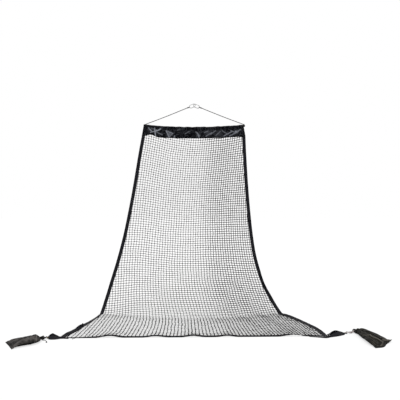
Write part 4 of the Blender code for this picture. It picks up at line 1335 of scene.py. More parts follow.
def spot_guide(name: str, spots: np.ndarray, along: np.ndarray, front: np.ndarray) -> bpy.types.Mesh:
    """Makes a guide of separate points that know which way they lie.

    Args:
        name: The guide's name.
        spots: The points.
        along: The direction that each shape runs in.
        front: The direction that its top looks in.

    Returns:
        The guide's mesh.
    """
    mesh = bpy.data.meshes.new(name + "_guide")
    mesh.from_pydata(spots.tolist(), [], [])
    for label, values in (("along", along), ("front", front)):
        attribute = mesh.attributes.new(label, "FLOAT_VECTOR", "POINT")
        attribute.data.foreach_set("vector", np.asarray(values, np.float32).ravel())
    return mesh


@dataclass(frozen=True)
class Netting:
    """The knotted square mesh, cut as a trapezoid and pulled askew as it hangs."""

    bight: tuple = ((-1.0, -0.45, 0.15), (0.0, 0.55, 0.25), (1.0, -0.45, -0.15))
    bight_radii: tuple = (0.42, 0.60, 0.42)
    strands_to_guide: float = 20.0
    row_pitch: float = 0.0345
    width: float = 0.0056
    thickness: float = 0.0021
    knot: float = 0.0060
    tuck: float = 0.046
    sewn_in: float = 0.006
    hem_tuck: float = 0.017
    lies_from: float = 2.68
    rise: float = 0.0035
    clear: float = 0.0062
    left_guide: tuple = ((0.14, -0.705), (0.50, -0.755), (0.86, -0.805), (1.22, -0.840), (1.58, -0.875),
                         (1.94, -0.900), (2.31, -0.910), (2.60, -0.905), (2.80, -0.890), (3.08, -0.870),
                         (3.58, -0.865), (3.93, -0.875))
    middle_guide: tuple = ((0.14, -0.005), (0.50, -0.045), (0.86, -0.080), (1.22, -0.105), (1.60, -0.122),
                           (2.00, -0.130), (2.35, -0.120), (2.60, -0.085), (2.85, -0.030), (3.05, 0.003),
                           (3.60, 0.026), (3.93, 0.038))
    right_guide: tuple = ((0.14, 0.665), (0.50, 0.630), (0.86, 0.590), (1.22, 0.562), (1.60, 0.570),
                          (1.95, 0.600), (2.30, 0.660), (2.55, 0.722), (2.80, 0.795), (3.08, 0.828),
                          (3.60, 0.868), (3.93, 0.905))
    bow: tuple = ((-1.8, -0.03), (-1.0, 0.0), (-0.45, 0.080), (0.0, 0.115), (0.5, 0.095), (1.0, 0.060),
                  (1.8, 0.0))
    bow_fades: tuple = (1.9, 3.3)
    hanging_full: tuple = ((-1.0, 1.0), (0.1, 1.02), (0.45, 1.55), (1.0, 1.5))
    lying_full: tuple = ((-1.0, 0.85), (-0.3, 0.80), (0.2, 1.1), (0.6, 1.45), (1.0, 1.5))
    low_full: tuple = (0.22, 1.4, 1.4)
    lying_starts: tuple = (2.75, 0.35)
    pulls: tuple = ((5, 0.11, 0.005), (6, 0.15, 0.005), (7, 0.10, 0.004))
    rise_run: float = 0.15
    hem_run: float = 0.2
    slips: tuple = (0.0012, 0.0012, 0.0010)
    fine: int = 12
    most: int = 42
    sides: int = 5
    knot_slope: float = 0.8
    knot_turn: float = 0.5
    knot_uneven: float = 0.18
    seed: int = 11

    def x_of(self, share: np.ndarray, down: np.ndarray) -> np.ndarray:
        """Finds where a strand hangs.

        Args:
            share: The strand, from -1 at the left guide over 0 to 1 at the right one, and beyond.
            down: Distances down the length.

        Returns:
            The places across the hanging net.
        """
        left = hermite(self.left_guide, down)
        middle = hermite(self.middle_guide, down)
        right = hermite(self.right_guide, down)
        return middle + (right - left) / 2 * share + (right + left - 2 * middle) / 2 * share ** 2

    def down_of(self, share: np.ndarray, level: np.ndarray) -> np.ndarray:
        """Finds how far down a row passes a strand, as rows bow down in the middle.

        Args:
            share: The strand, as x_of takes it.
            level: The row's own distance down.

        Returns:
            The distances down.
        """
        start, end = self.bow_fades
        gone = np.clip((level - start) / (end - start), 0.0, 1.0)
        return level + hermite(self.bow, share) * (1.0 - ease(gone))

    def inside(self, x: np.ndarray, down: np.ndarray) -> np.ndarray:
        """Tells which places the tapes and the sleeve leave open.

        Args:
            x: The places across.
            down: The distances below the pole, along the net.

        Returns:
            A mask.
        """
        left, right = CURTAIN.edges(down)
        below = down > CURTAIN.sleeve_hem(x) - self.sewn_in
        above = down < CURTAIN.length - self.hem_tuck
        return (x > left + self.tuck) & (x < right - self.tuck) & below & above

    def full_at(self, x: np.ndarray, down: np.ndarray) -> np.ndarray:
        """Finds the twine's fullness, greater to the right.

        Args:
            x: The places across.
            down: The distances below the pole, along the net.

        Returns:
            The fullness.
        """
        across = CURTAIN.across(x, down)
        more, low_start, low_run = self.low_full
        low = more * np.clip((down - low_start) / low_run, 0.0, 1.0)
        start, run = self.lying_starts
        lies = np.clip((down - start) / run, 0.0, 1.0)
        hanging = hermite(self.hanging_full, across) + low
        return hanging * (1 - lies) + hermite(self.lying_full, across) * lies

    def loose(self, share: np.ndarray, level: np.ndarray) -> tuple[np.ndarray, np.ndarray, np.ndarray]:
        """Finds how far the mesh is pulled askew.

        Args:
            share: Strands, as x_of takes them.
            level: Rows, as down_of takes them.

        Returns:
            The shift across, the shift down and the shift to the front.
        """
        u = share * 0.7 + 3
        across, down, out = [Noise(seed, pitch).at(u, level) * reach for seed, pitch, reach in self.pulls]
        lies = np.clip((level - self.lies_from) / self.rise_run, 0.0, 1.0)
        out = out * (1.0 - lies) + (self.rise + np.abs(out)) * lies
        return across, down, out * np.clip((CURTAIN.length - level) / self.hem_run, 0.2, 1.0)

    def course(self, share: np.ndarray, level: np.ndarray, jitter: np.ndarray) -> tuple[np.ndarray, ...]:
        """Runs one strand or row, with a sewn end where it meets an edge.

        Args:
            share: Strands along the course, evenly and finely spaced.
            level: Rows along the course.
            jitter: Each knot's own shift across, down and to the front, one row of three to every 12 points.

        Returns:
            The course's points, the front's direction and the fullness at each, and which are knots.
        """
        down = self.down_of(share, level)
        x = self.x_of(share, down)
        open_ = np.nonzero(self.inside(x, down))[0]
        if len(open_) < 8:
            return ()
        first = open_[0]
        last = open_[-1]
        middles = np.arange(0, len(share), self.fine // 2)
        kept = middles[(middles > first + 2) & (middles < last - 2)]
        chosen = np.concatenate([[first], kept, [last]])
        knotted = np.isin(chosen, np.arange(0, len(share), self.fine))
        knotted[[0, -1]] = False
        shift = np.stack(self.loose(share[chosen], level[chosen]), axis=1)
        shift += jitter[chosen // (self.fine // 2)]
        shift[[0, -1]] *= 0.0
        across = x[chosen] + shift[:, 0]
        along = down[chosen] + shift[:, 1]
        points = CURTAIN.place(across, along, shift[:, 2])
        points[1:-1, 2] = np.maximum(points[1:-1, 2], FLOOR + self.clear)
        return points, CURTAIN.front(across, along), self.full_at(across, along), knotted

    def build(self, material: bpy.types.Material) -> list[bpy.types.Object]:
        """Makes the strands and the knots.

        Args:
            material: The twine.

        Returns:
            The pieces.
        """
        most = self.most
        rows = int(CURTAIN.length / self.row_pitch) + 4
        rng = np.random.default_rng(self.seed)
        jitter = rng.normal(0.0, 1.0, (2 * most * 2 + 1, rows * 2 + 1, 3)) * self.slips
        shares = np.arange(-most * self.fine, most * self.fine + 1) / self.fine / self.strands_to_guide
        levels = (np.arange(0, rows * self.fine + 1) / self.fine - 2) * self.row_pitch
        down = []
        for k in range(-most, most + 1):
            strand = np.full(len(levels), k / self.strands_to_guide)
            down.append(self.course(strand, levels, jitter[2 * (k + most)]))
        cross = []
        for j in range(rows + 1):
            row = np.full(len(shares), (j - 2) * self.row_pitch)
            cross.append(self.course(shares, row, jitter[:, 2 * j]))
        down = [course for course in down if course]
        cross = [course for course in cross if course]
        tree = strand_tree()
        values = {"Width": self.width, "Thickness": self.thickness, "Sides": self.sides, "Material": material}
        pieces = []
        for name, courses in (("net_down_strands", down), ("net_cross_strands", cross)):
            points, fronts, full, _ = zip(*courses)
            guide = line_guide(name, list(points), list(fronts), list(full))
            pieces.append(run_nodes(name, guide, tree, **values))
        shape = self.knot_shape(material)
        spots = np.concatenate([points[knotted] for points, _, _, knotted in down])
        facing = np.concatenate([front[knotted] for _, front, _, knotted in down])
        turn = rng.uniform(-self.knot_turn, self.knot_turn, len(spots))
        sloping = np.where(rng.random(len(spots)) < 0.5, self.knot_slope, -self.knot_slope) + turn
        direction = np.stack([np.cos(sloping), np.zeros(len(spots)), np.sin(sloping)], axis=1)
        guide = spot_guide("net_knots", spots, direction, facing)
        values = {"Shape": shape, "Seed": 3, "Uneven": self.knot_uneven, "Material": material}
        pieces.append(run_nodes("net_knots", guide, scatter_tree(), **values))
        bpy.data.objects.remove(shape)
        return pieces

    def knot_shape(self, material: bpy.types.Material) -> bpy.types.Object:
        """Makes one knot: two bights that grip each other.

        Args:
            material: The twine.

        Returns:
            A small shape with few faces.
        """
        size = self.knot
        parts = []
        for side in (-1.0, 1.0):
            route = np.array([(x * side, y * side, z) for x, y, z in self.bight]) * size
            parts.append(tube_arrays(route, np.array(self.bight_radii) * size, 4))
        points, faces = join(parts)
        return mesh_object("knot_shape", points, faces, material)


# The cloth edges


@dataclass(frozen=True)
class Stitching:
    """A row of stitches along a line on a cloth."""

    length: float = 0.0042
    gap: float = 0.0026
    thread: float = 0.00045
    dip: float = 0.0004
    straight_share: float = 0.6
    uneven: float = 0.12

    def row(self, name: str, routes: list, fronts: list, material: bpy.types.Material) -> bpy.types.Object:
        """Sews rows of stitches.

        Args:
            name: The piece's name.
            routes: Each row's line on the cloth's face.
            fronts: The face's direction at each point of each line.
            material: The thread.

        Returns:
            The stitches.
        """
        spots = []
        along = []
        facing = []
        for route, front in zip(routes, fronts):
            count = max(2, int(length_of(route) / (self.length + self.gap)))
            places = resample(route, count)
            run = run_along(route)
            at = np.linspace(0.0, run[-1], count)
            spots.append(places)
            along.append(unit(np.gradient(places, axis=0)))
            facing.append(unit(np.stack([np.interp(at, run, front[:, axis]) for axis in range(3)], axis=1)))
        guide = spot_guide(name, np.concatenate(spots), np.concatenate(along), np.concatenate(facing))
        half = self.length / 2
        flat = half * self.straight_share
        route = np.array([(-half, 0, -self.dip), (-flat, 0, self.dip), (flat, 0, self.dip),
                          (half, 0, -self.dip)])
        points, faces = tube_arrays(route, self.thread, 4)
        shape = mesh_object("stitch_shape", points, faces, material)
        values = {"Shape": shape, "Seed": 1, "Uneven": self.uneven, "Material": material}
        row = run_nodes(name, guide, scatter_tree(), **values)
        bpy.data.objects.remove(shape)
        return row


@dataclass(frozen=True)
class SideBinding:
    """The wide tape that is folded and sewn over one side of the netting."""

    side: Side
    rolls: tuple
    width: float = 0.050
    clear: float = 0.0033
    half_thick: float = 0.0013
    fold_thick: float = 0.0016
    fold_share: float = 0.72
    fold_run: float = 0.22
    seam_shares: tuple = (0.16, 0.84)
    pucker: tuple = (21, 0.016, 0.02, 0.0011)
    wave: tuple = (22, 0.07, 0.04, 0.0022)
    top_fades: float = 0.05
    step: float = 0.008
    columns: int = 13

    def grid(self) -> tuple[np.ndarray, np.ndarray, np.ndarray]:
        """Lays the tape's middle.

        Args:
            None.

        Returns:
            The points, the front's direction at each, and their flat places.
        """
        start = CURTAIN.sleeve_drop
        rows = int((CURTAIN.length - start) / self.step)
        down = np.linspace(start, CURTAIN.length, rows)
        share = np.linspace(0.0, 1.0, self.columns)
        left, right = CURTAIN.edges(down)
        centre_x = right - self.width / 2 if self.side is Side.RIGHT else left + self.width / 2
        middle = CURTAIN.place(centre_x, down)
        lengthwise = unit(np.gradient(middle, axis=0))
        front = CURTAIN.front(centre_x, down)
        sideways = unit(np.cross(lengthwise, front)) * -1.0
        sideways *= np.sign(sideways[:, :1] + 1e-9)
        roll = np.radians(hermite(self.rolls, down))
        wide = around(roll, sideways, front)
        normal = around(roll, front, -sideways)
        off = (share - 0.5) * self.width
        inner = -self.side.value * self.width / 2
        pivot = middle + sideways * inner
        points = pivot[:, None] + wide[:, None] * (off - inner)[None, :, None]
        uneven = [Noise(seed, pitch).at(down[:, None] + 1, share[None] * wide_run) * reach
                  for seed, pitch, wide_run, reach in (self.pucker, self.wave)]
        points = points + normal[:, None] * (uneven[0] + uneven[1])[..., None]
        sunk = FLOOR + self.clear - points[..., 2].min(axis=1)
        points[..., 2] += np.maximum(0.0, sunk)[:, None]
        rise = start - CURTAIN.sleeve_hem(points[0, :, 0]) - GAP
        fade = np.clip(1.0 - (down - start) / self.top_fades, 0.0, 1.0)
        points -= lengthwise[:, None] * (fade[:, None] * rise[None])[..., None]
        uv = np.stack(np.meshgrid(down, off, indexing="ij")[::-1], axis=-1)
        return points, np.broadcast_to(normal[:, None], points.shape), uv

    def build(self, cloth: bpy.types.Material, thread: bpy.types.Material) -> list[bpy.types.Object]:
        """Makes the tape and its seams.

        Args:
            cloth: The tape's material.
            thread: The stitches' material.

        Returns:
            The tape and its stitches.
        """
        points, normal, uv = self.grid()
        share = np.linspace(0.0, 1.0, self.columns)
        inner = share if self.side is Side.LEFT else 1.0 - share
        half = self.half_thick + self.fold_thick * np.clip((inner - self.fold_share) / self.fold_run, 0, 1)
        name = self.side.word + "_side_tape"
        tape = sheet_object(name, points, normal, half[None, :], cloth, uv)
        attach(tape, "curtain")
        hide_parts(self.side.word + "_side_binding")
        routes = []
        fronts = []
        for place in self.seam_shares:
            column = place * (self.columns - 1)
            low = int(column)
            mixed = points[:, low] + (points[:, low + 1] - points[:, low]) * (column - low)
            thick = np.interp(place, share, half)
            for face in (1.0, -1.0):
                routes.append(mixed + normal[:, low] * (face * (thick + THREAD_LIFT)))
                fronts.append(normal[:, low] * face)
        seams = Stitching().row(name + "_seams", routes, fronts, thread)
        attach(seams, "curtain")
        return [tape, seams]


@dataclass(frozen=True)
class BottomBinding:
    """The narrow tape along the front edge."""

    width: float = 0.025
    side_band: float = 0.050
    clear: float = 0.0028
    corner_gap: float = 0.001
    half_thick: float = 0.0013
    fold_thick: float = 0.0014
    fold_share: float = 0.3
    pucker: tuple = (31, 0.018, 0.0010)
    step: float = 0.008
    columns: int = 9

    def build(self, cloth: bpy.types.Material, thread: bpy.types.Material) -> list[bpy.types.Object]:
        """Makes the tape and its seam.

        Args:
            cloth: The tape's material.
            thread: The stitches' material.

        Returns:
            The tape and its stitches.
        """
        left, right = CURTAIN.edges(np.float64(CURTAIN.length))
        inset = self.side_band + self.corner_gap
        x = np.arange(left + inset, right - inset, self.step)
        off = np.linspace(0.0, self.width, self.columns)
        down = CURTAIN.length - self.width + off
        grid_down, grid_x = np.meshgrid(down, x, indexing="ij")
        seed, pitch, reach = self.pucker
        out = Noise(seed, pitch).at(grid_x + 5, grid_down) * reach
        points = CURTAIN.place(grid_x, grid_down, out)
        points[..., 2] = np.maximum(points[..., 2], FLOOR + self.clear)
        normal = CURTAIN.front(grid_x, grid_down)
        folded = np.clip((self.fold_share - off / self.width) / self.fold_share, 0, 1)
        half = self.half_thick + self.fold_thick * folded
        uv = np.stack([grid_down, grid_x], axis=-1)
        tape = sheet_object("bottom_tape", points, normal, half[:, None], cloth, uv)
        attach(tape, "curtain")
        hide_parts("bottom_binding")
        line = points[2]
        face = normal[2]
        thick = half[2] + THREAD_LIFT
        seams = Stitching().row("bottom_tape_seams", [line + face * thick], [face], thread)
        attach(seams, "curtain")
        return [tape, seams]


# The sleeve


@dataclass(frozen=True)
class TopSleeve:
    """The coated fabric that is folded over the pole and sewn under it."""

    seam_drop: float = 0.040
    pocket: float = 0.0134
    hem_half: float = 0.0034
    end_setback: float = 0.002
    columns: int = 420
    hem_rows: int = 34
    crown_rows: int = 17
    crease_deep: float = 0.0060
    top: float = 0.012
    top_share: float = 0.13
    past_level: float = 0.55
    half_thick: float = 0.0006
    line_half: float = 0.0035
    crease_highlight_strength: float = 0.17
    stroke_half: float = 0.0075
    ridge: float = 0.0028
    facets: tuple = ((41, 0.075, 0.62), (42, 0.030, 0.38))
    softness: tuple = (43, 0.05, 0.2)
    skirt_lift: float = 0.35
    crown_lift: float = 0.9
    side_past: float = 0.001
    # Painted highlights along creases: start across, start share, end across, end share and strength.
    highlight_strokes: tuple = ((0.078, 0.12, 0.137, 0.55, 0.8), (0.171, 0.10, 0.204, 0.95, 0.9),
                      (0.263, 0.16, 0.182, 0.48, 1.0),
                      (0.182, 0.48, 0.123, 0.72, 0.8), (0.120, 0.20, 0.215, 0.30, 0.45),
                      (0.300, 0.72, 0.211, 0.50, 0.4),
                      (0.352, 0.30, 0.404, 0.92, 0.7), (0.372, 0.34, 0.455, 0.55, 0.6),
                      (0.455, 0.55, 0.404, 0.92, 0.4),
                      (0.485, 0.78, 0.478, 0.95, 0.6), (0.520, 0.20, 0.600, 0.05, 0.3),
                      (0.640, 0.55, 0.700, 0.30, 0.3),
                      (0.826, 0.45, 0.848, 0.90, 0.6), (0.929, 0.42, 0.985, 0.28, 0.4),
                      (0.951, 0.80, 1.040, 0.45, 0.45),
                      (1.10, 0.75, 1.17, 0.35, 0.35), (1.20, 0.30, 1.28, 0.70, 0.35),
                      (1.33, 0.35, 1.42, 0.60, 0.45),
                      (1.22, 0.82, 1.34, 0.45, 0.5), (1.30, 0.86, 1.44, 0.48, 0.5),
                      (1.37, 0.62, 1.48, 0.28, 0.5),
                      (0.80, 0.35, 0.86, 0.76, 0.45), (1.02, 0.62, 1.10, 0.28, 0.4))
    # Round painted highlights: across, share, half width and strength.
    patches: tuple = ((0.40, 0.62, 0.030, 0.35), (0.835, 0.65, 0.022, 0.30), (0.10, 0.30, 0.030, 0.16),
                      (1.405, 0.45, 0.012, 0.95), (1.15, 0.55, 0.050, 0.10), (0.98, 0.45, 0.040, 0.12))

    def side_of(self, bottom_x: np.ndarray, down: np.ndarray) -> np.ndarray:
        """Finds where the fabric's threads run.

        Args:
            bottom_x: Places across at the lower edge.
            down: Distances down.

        Returns:
            The places across at that distance.
        """
        half = TOP_HALF + self.side_past
        top = bottom_x * (POLE_HALF - self.end_setback) / half
        return top + (bottom_x - top) * down / CURTAIN.sleeve_hem(bottom_x)

    def skirt(self, bottom_x: np.ndarray, shares: np.ndarray, front: bool) -> np.ndarray:
        """Lays one layer below the pole.

        Args:
            bottom_x: Places across at the lower edge.
            shares: Rows, from 0 at the pole to 1 at the lower edge.
            front: Whether this is the front layer.

        Returns:
            The points, rows by columns.
        """
        drop, across = np.meshgrid(shares, bottom_x, indexing="ij")
        hem = CURTAIN.sleeve_hem(across)
        down = self.top + (hem - self.top) * drop
        near = np.clip((self.seam_drop - down) / (self.seam_drop - self.top), 0.0, 1.0)
        out = self.hem_half + (self.pocket - self.hem_half) * ease(near)
        sign = 1.0 if front else -1.0
        return CURTAIN.place(self.side_of(across, down), down, sign * out)

    def crown(self, bottom_x: np.ndarray) -> np.ndarray:
        """Lays the fold over the pole.

        Args:
            bottom_x: Places across at the lower edge.

        Returns:
            The points, rows by columns.
        """
        turns = np.linspace(-self.past_level, math.pi + self.past_level, self.crown_rows)
        turn, across = np.meshgrid(turns, bottom_x, indexing="ij")
        x = self.side_of(across, np.zeros_like(across))
        centre_z = -POLE_DROP - POLE_SAG * (1.0 - (x / TOP_HALF) ** 2)
        return np.stack([x, -self.pocket * np.cos(turn), centre_z + self.pocket * np.sin(turn)], axis=-1)

    def creases(self, u: np.ndarray, v: np.ndarray, run: np.ndarray) -> np.ndarray:
        """Finds where highlight is painted along the coating's creases, partly the coating whitened at its
        creases.

        Args:
            u: Places across, from the left end.
            v: Places along the cut, from the front's lower edge over the pole to the back's.
            run: The rows' places along the cut.

        Returns:
            0 to 1 at each place.
        """
        seed, pitch, _ = self.facets[1]
        facets = Creases(seed, 2 * TOP_HALF, float(run[-1]), pitch)
        total = facets.lines(u, v, self.line_half) * self.crease_highlight_strength
        deep = float(run[self.hem_rows])
        for start_u, start_share, end_u, end_share, strength in self.highlight_strokes:
            line = (start_u, deep * (1 - start_share), end_u, deep * (1 - end_share))
            total = np.maximum(total, strength * stroke(u, v, line, self.stroke_half))
        for centre_u, share, half, strength in self.patches:
            spot = (centre_u, deep * (1 - share), centre_u, deep * (1 - share))
            total = np.maximum(total, strength * stroke(u, v, spot, half))
        return np.clip(total, 0.0, 1.0)

    def build(self, cloth: bpy.types.Material, thread: bpy.types.Material) -> list[bpy.types.Object]:
        """Makes the sleeve and its seams.

        Args:
            cloth: The coated fabric.
            thread: The stitches' material.

        Returns:
            The sleeve and its stitches.
        """
        left, right = CURTAIN.edges(np.float64(CURTAIN.sleeve_drop))
        bottom_x = np.linspace(left, right, self.columns)
        rows = np.linspace(1.0, self.top_share, self.hem_rows)
        front = self.skirt(bottom_x, rows, True)
        back = self.skirt(bottom_x, rows[::-1], False)
        middle = np.concatenate([front, self.crown(bottom_x), back])
        lengthwise = np.gradient(middle, axis=0)
        sideways = np.gradient(middle, axis=1)
        normal = unit(np.cross(sideways, lengthwise))
        normal *= np.sign((normal[5, 5] * np.array([0, -1, 0])).sum())
        run = run_along(middle[:, self.columns // 2])
        grid_v, grid_u = np.meshgrid(run, bottom_x - left, indexing="ij")
        big, small = [Creases(seed, float(right - left), run[-1], pitch).at(grid_u, grid_v) * share
                      for seed, pitch, share in self.facets]
        seed, pitch, share = self.softness
        soft = Noise(seed, pitch).at(grid_u, grid_v) * share
        held = np.ones(len(run))
        held[[0, -1]] = 0.5
        # The mask paints highlights on the coated fabric, partly whitened coating, and also raises its
        # ridges.
        crease = self.creases(grid_u, grid_v, run)
        relief = (big + small + soft) * self.crease_deep + crease * self.ridge
        row = np.arange(len(run))
        on_skirt = (row < self.hem_rows) | (row >= len(run) - self.hem_rows)
        lift = np.where(on_skirt, self.skirt_lift, self.crown_lift) * self.crease_deep
        middle = middle + normal * (relief * held[:, None] + lift[:, None])[..., None]
        lengthwise = np.gradient(middle, axis=0)
        sideways = np.gradient(middle, axis=1)
        fresh = unit(np.cross(sideways, lengthwise))
        fresh *= np.sign((fresh * normal).sum(axis=-1, keepdims=True))
        uv = np.stack([grid_u, grid_v], axis=-1)
        sleeve = sheet_object("sleeve_fabric", middle[::-1], fresh[::-1], self.half_thick, cloth, uv[::-1])
        mark(sleeve.data, "crease", crease[::-1])
        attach(sleeve, "curtain")
        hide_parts("top_sleeve")
        routes = []
        fronts = []
        for row in (1, 2):
            routes.append(middle[row] + fresh[row] * (self.half_thick + 2 * THREAD_LIFT))
            fronts.append(fresh[row])
        seams = Stitching().row("sleeve_seams", routes, fronts, thread)
        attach(seams, "curtain")
        return [sleeve, seams]


# The hooks, the cords and their knots


BAR_RADIUS = 0.008
HOOK_ROD = 0.0045
HOOK_BOW = 0.022
HOOK_SPACING = 0.0065
CORD_RADIUS = 0.004
ROPE_RADIUS = 0.0052
CORD_SAG = 0.004
KNOT_RISE = 0.0188
NECK_LENGTH = 0.0182
NECK_RADIUS = 0.0075
BARREL_LENGTH = 0.030
BOW_START = HOOK_BOW - HOOK_ROD - BAR_RADIUS - GAP
BOW_END = BOW_START + 0.048
BARREL_START = BOW_END + HOOK_BOW + HOOK_ROD + GAP + CORD_RADIUS
BARREL_END = BARREL_START + BARREL_LENGTH


def pole_point(x: float) -> np.ndarray:
    """Returns the pole's middle at a place across."""
    return np.array([x, 0.0, -POLE_DROP - POLE_SAG * (1.0 - (x / TOP_HALF) ** 2)])


def pole_knot_top(side: Side) -> np.ndarray:
    """Returns where a hanging cord leaves the pole's end."""
    return pole_point(side.value * (POLE_HALF + GAP + NECK_LENGTH / 2)) + np.array([0.0, 0.0, KNOT_RISE])


@dataclass(frozen=True)
class HookPlane:
    """The plane that a hook lies in: along it to its knot and across it to its gate."""

    side: Side

    @property
    def along(self) -> np.ndarray:
        """Returns the direction from the hook to its knot."""
        knot = pole_knot_top(self.side)
        return unit(np.array([knot[0], 0.0, knot[2]]))

    @property
    def across(self) -> np.ndarray:
        """Returns the direction to the gate."""
        return np.array([-self.along[2], 0.0, self.along[0]]) * self.side.value

    def point(self, along: float, across: float, through: float = 0.0) -> np.ndarray:
        """Finds a point of the plane.

        Args:
            along: The distance to the knot's side.
            across: The distance to the gate's side.
            through: The distance to the back.

        Returns:
            The point.
        """
        centre = np.array([0.0, self.side.value * HOOK_SPACING + through, 0.0])
        return centre + self.along * along + self.across * across


@dataclass(frozen=True)
class HangingCord:
    """The thin cord from a hook down to the pole's end, with its knots."""

    side: Side
    lay: float = 0.013
    wraps: float = 4.0
    wrap_reach: float = 0.0054
    wrap_radius: float = 0.0032
    wrap_margin: float = 0.0030
    core_share: float = 0.95
    neck_wraps: float = 2.0
    neck_ease: float = 0.0005
    neck_margin: float = 0.0043
    neck_steps: tuple = (0.42, 0.16)
    lump_half: float = 0.0054
    lump_reach: float = 0.0041
    lump_radius: float = 0.0036
    lump_core: tuple = (0.0066, 0.0089)

    def route(self) -> np.ndarray:
        """Draws the cord's line, from the hook's knot down.

        Args:
            None.

        Returns:
            Its points.
        """
        end = pole_knot_top(self.side)
        finish = HookPlane(self.side).point(BARREL_END + GAP, 0.0)
        start = end + unit(finish - end) * (NECK_LENGTH / 2)
        middle = (start + finish) / 2 - np.array([0.0, 0.0, CORD_SAG])
        return smooth_route([finish, middle, start], 36)

    def build(self, material: bpy.types.Material) -> list[bpy.types.Object]:
        """Makes the cord, the knot at the hook and the knot on the pole.

        Args:
            material: The cord's fibre.

        Returns:
            The pieces.
        """
        word = self.side.word
        route = self.route()
        cord = mesh_object(word + "_hanging_rope", *rope_arrays(route, ROPE_RADIUS, self.lay), material)
        hook_knot = mesh_object(word + "_hook_hitch", *self.hook_knot(), material)
        pole_knot = mesh_object(word + "_pole_hitch", *self.pole_knot(), material)
        for piece, node in ((cord, "_hanging_cord"), (hook_knot, "_hook_knot"), (pole_knot, "_pole_knot")):
            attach(piece, "curtain")
            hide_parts(word + node)
        return [cord, hook_knot, pole_knot]

    def hook_knot(self) -> tuple[np.ndarray, np.ndarray]:
        """Ties the cord round the hook: a ring, then turns wrapped round the standing part.

        Args:
            None.

        Returns:
            The points and faces.
        """
        plane = HookPlane(self.side)
        turn = np.linspace(0.0, 2 * np.pi, 41)[:-1]
        reach = HOOK_ROD + GAP + CORD_RADIUS + THREAD_LIFT
        through = np.array([0.0, 1.0, 0.0])
        centre = plane.point(BOW_END + HOOK_BOW, 0.0)
        ring = centre + reach * around(turn, plane.along, through)
        parts = [tube_arrays(ring, CORD_RADIUS, 10, closed=True, up=tuple(plane.across))]
        share = np.linspace(0.0, 1.0, 97)
        angle = 2 * np.pi * self.wraps * share
        run = BARREL_START + self.wrap_margin + (BARREL_LENGTH - 2 * self.wrap_margin) * share
        wound = np.array([plane.point(place, 0.0) for place in run])
        wound += self.wrap_reach * around(angle, plane.across, through)
        parts.append(tube_arrays(wound, self.wrap_radius, 8, up=tuple(plane.along)))
        core = np.array([plane.point(BARREL_START, 0.0), plane.point(BARREL_END, 0.0)])
        parts.append(tube_arrays(resample(core, 9), CORD_RADIUS * self.core_share, 8, up=tuple(plane.across)))
        return join(parts)

    def pole_knot(self) -> tuple[np.ndarray, np.ndarray]:
        """Ties the cord round the cap's neck, with its lump on top.

        Args:
            None.

        Returns:
            The points and faces.
        """
        sign = self.side.value
        x = sign * (POLE_HALF + GAP)
        slope = 2 * POLE_SAG * x / TOP_HALF ** 2
        out = unit(np.array([1.0, 0.0, slope])) * sign
        across = np.array([0.0, 1.0, 0.0])
        up = np.cross(out, across)
        up = up * np.sign(up[2])
        share = np.linspace(0.0, 1.0, 97)
        angle = 2 * np.pi * self.neck_wraps * share + np.pi / 2
        reach = NECK_RADIUS + self.neck_ease + CORD_RADIUS
        step = np.clip((share - self.neck_steps[0]) / self.neck_steps[1], 0.0, 1.0)
        run = self.neck_margin + (NECK_LENGTH - 2 * self.neck_margin) * ease(step)
        wound = pole_point(x) + run[:, None] * out
        wound = wound + reach * around(angle, across, up)
        parts = [tube_arrays(wound, CORD_RADIUS, 10, up=tuple(out))]
        middle = pole_knot_top(self.side)
        finish = HookPlane(self.side).point(BARREL_END, 0.0)
        aim = unit(finish - middle)
        cross = np.cross(aim, across)
        turn = np.linspace(0.0, 2 * np.pi * self.neck_wraps, 49)
        lump = middle + aim * np.linspace(-self.lump_half, self.lump_half, 49)[:, None]
        lump = lump + self.lump_reach * around(turn, across, cross)
        parts.append(tube_arrays(lump, self.lump_radius, 9, up=tuple(aim)))
        core = np.array([middle - aim * self.lump_core[0], middle + aim * self.lump_core[1]])
        parts.append(tube_arrays(resample(core, 7), CORD_RADIUS, 9))
        return join(parts)


# The corners


def corner(side: Side) -> np.ndarray:
    """Returns the place of one of the curtain's bottom corners."""
    left, right = CURTAIN.edges(np.float64(CURTAIN.length))
    return CURTAIN.place(right if side is Side.RIGHT else left, np.float64(CURTAIN.length))[:2]


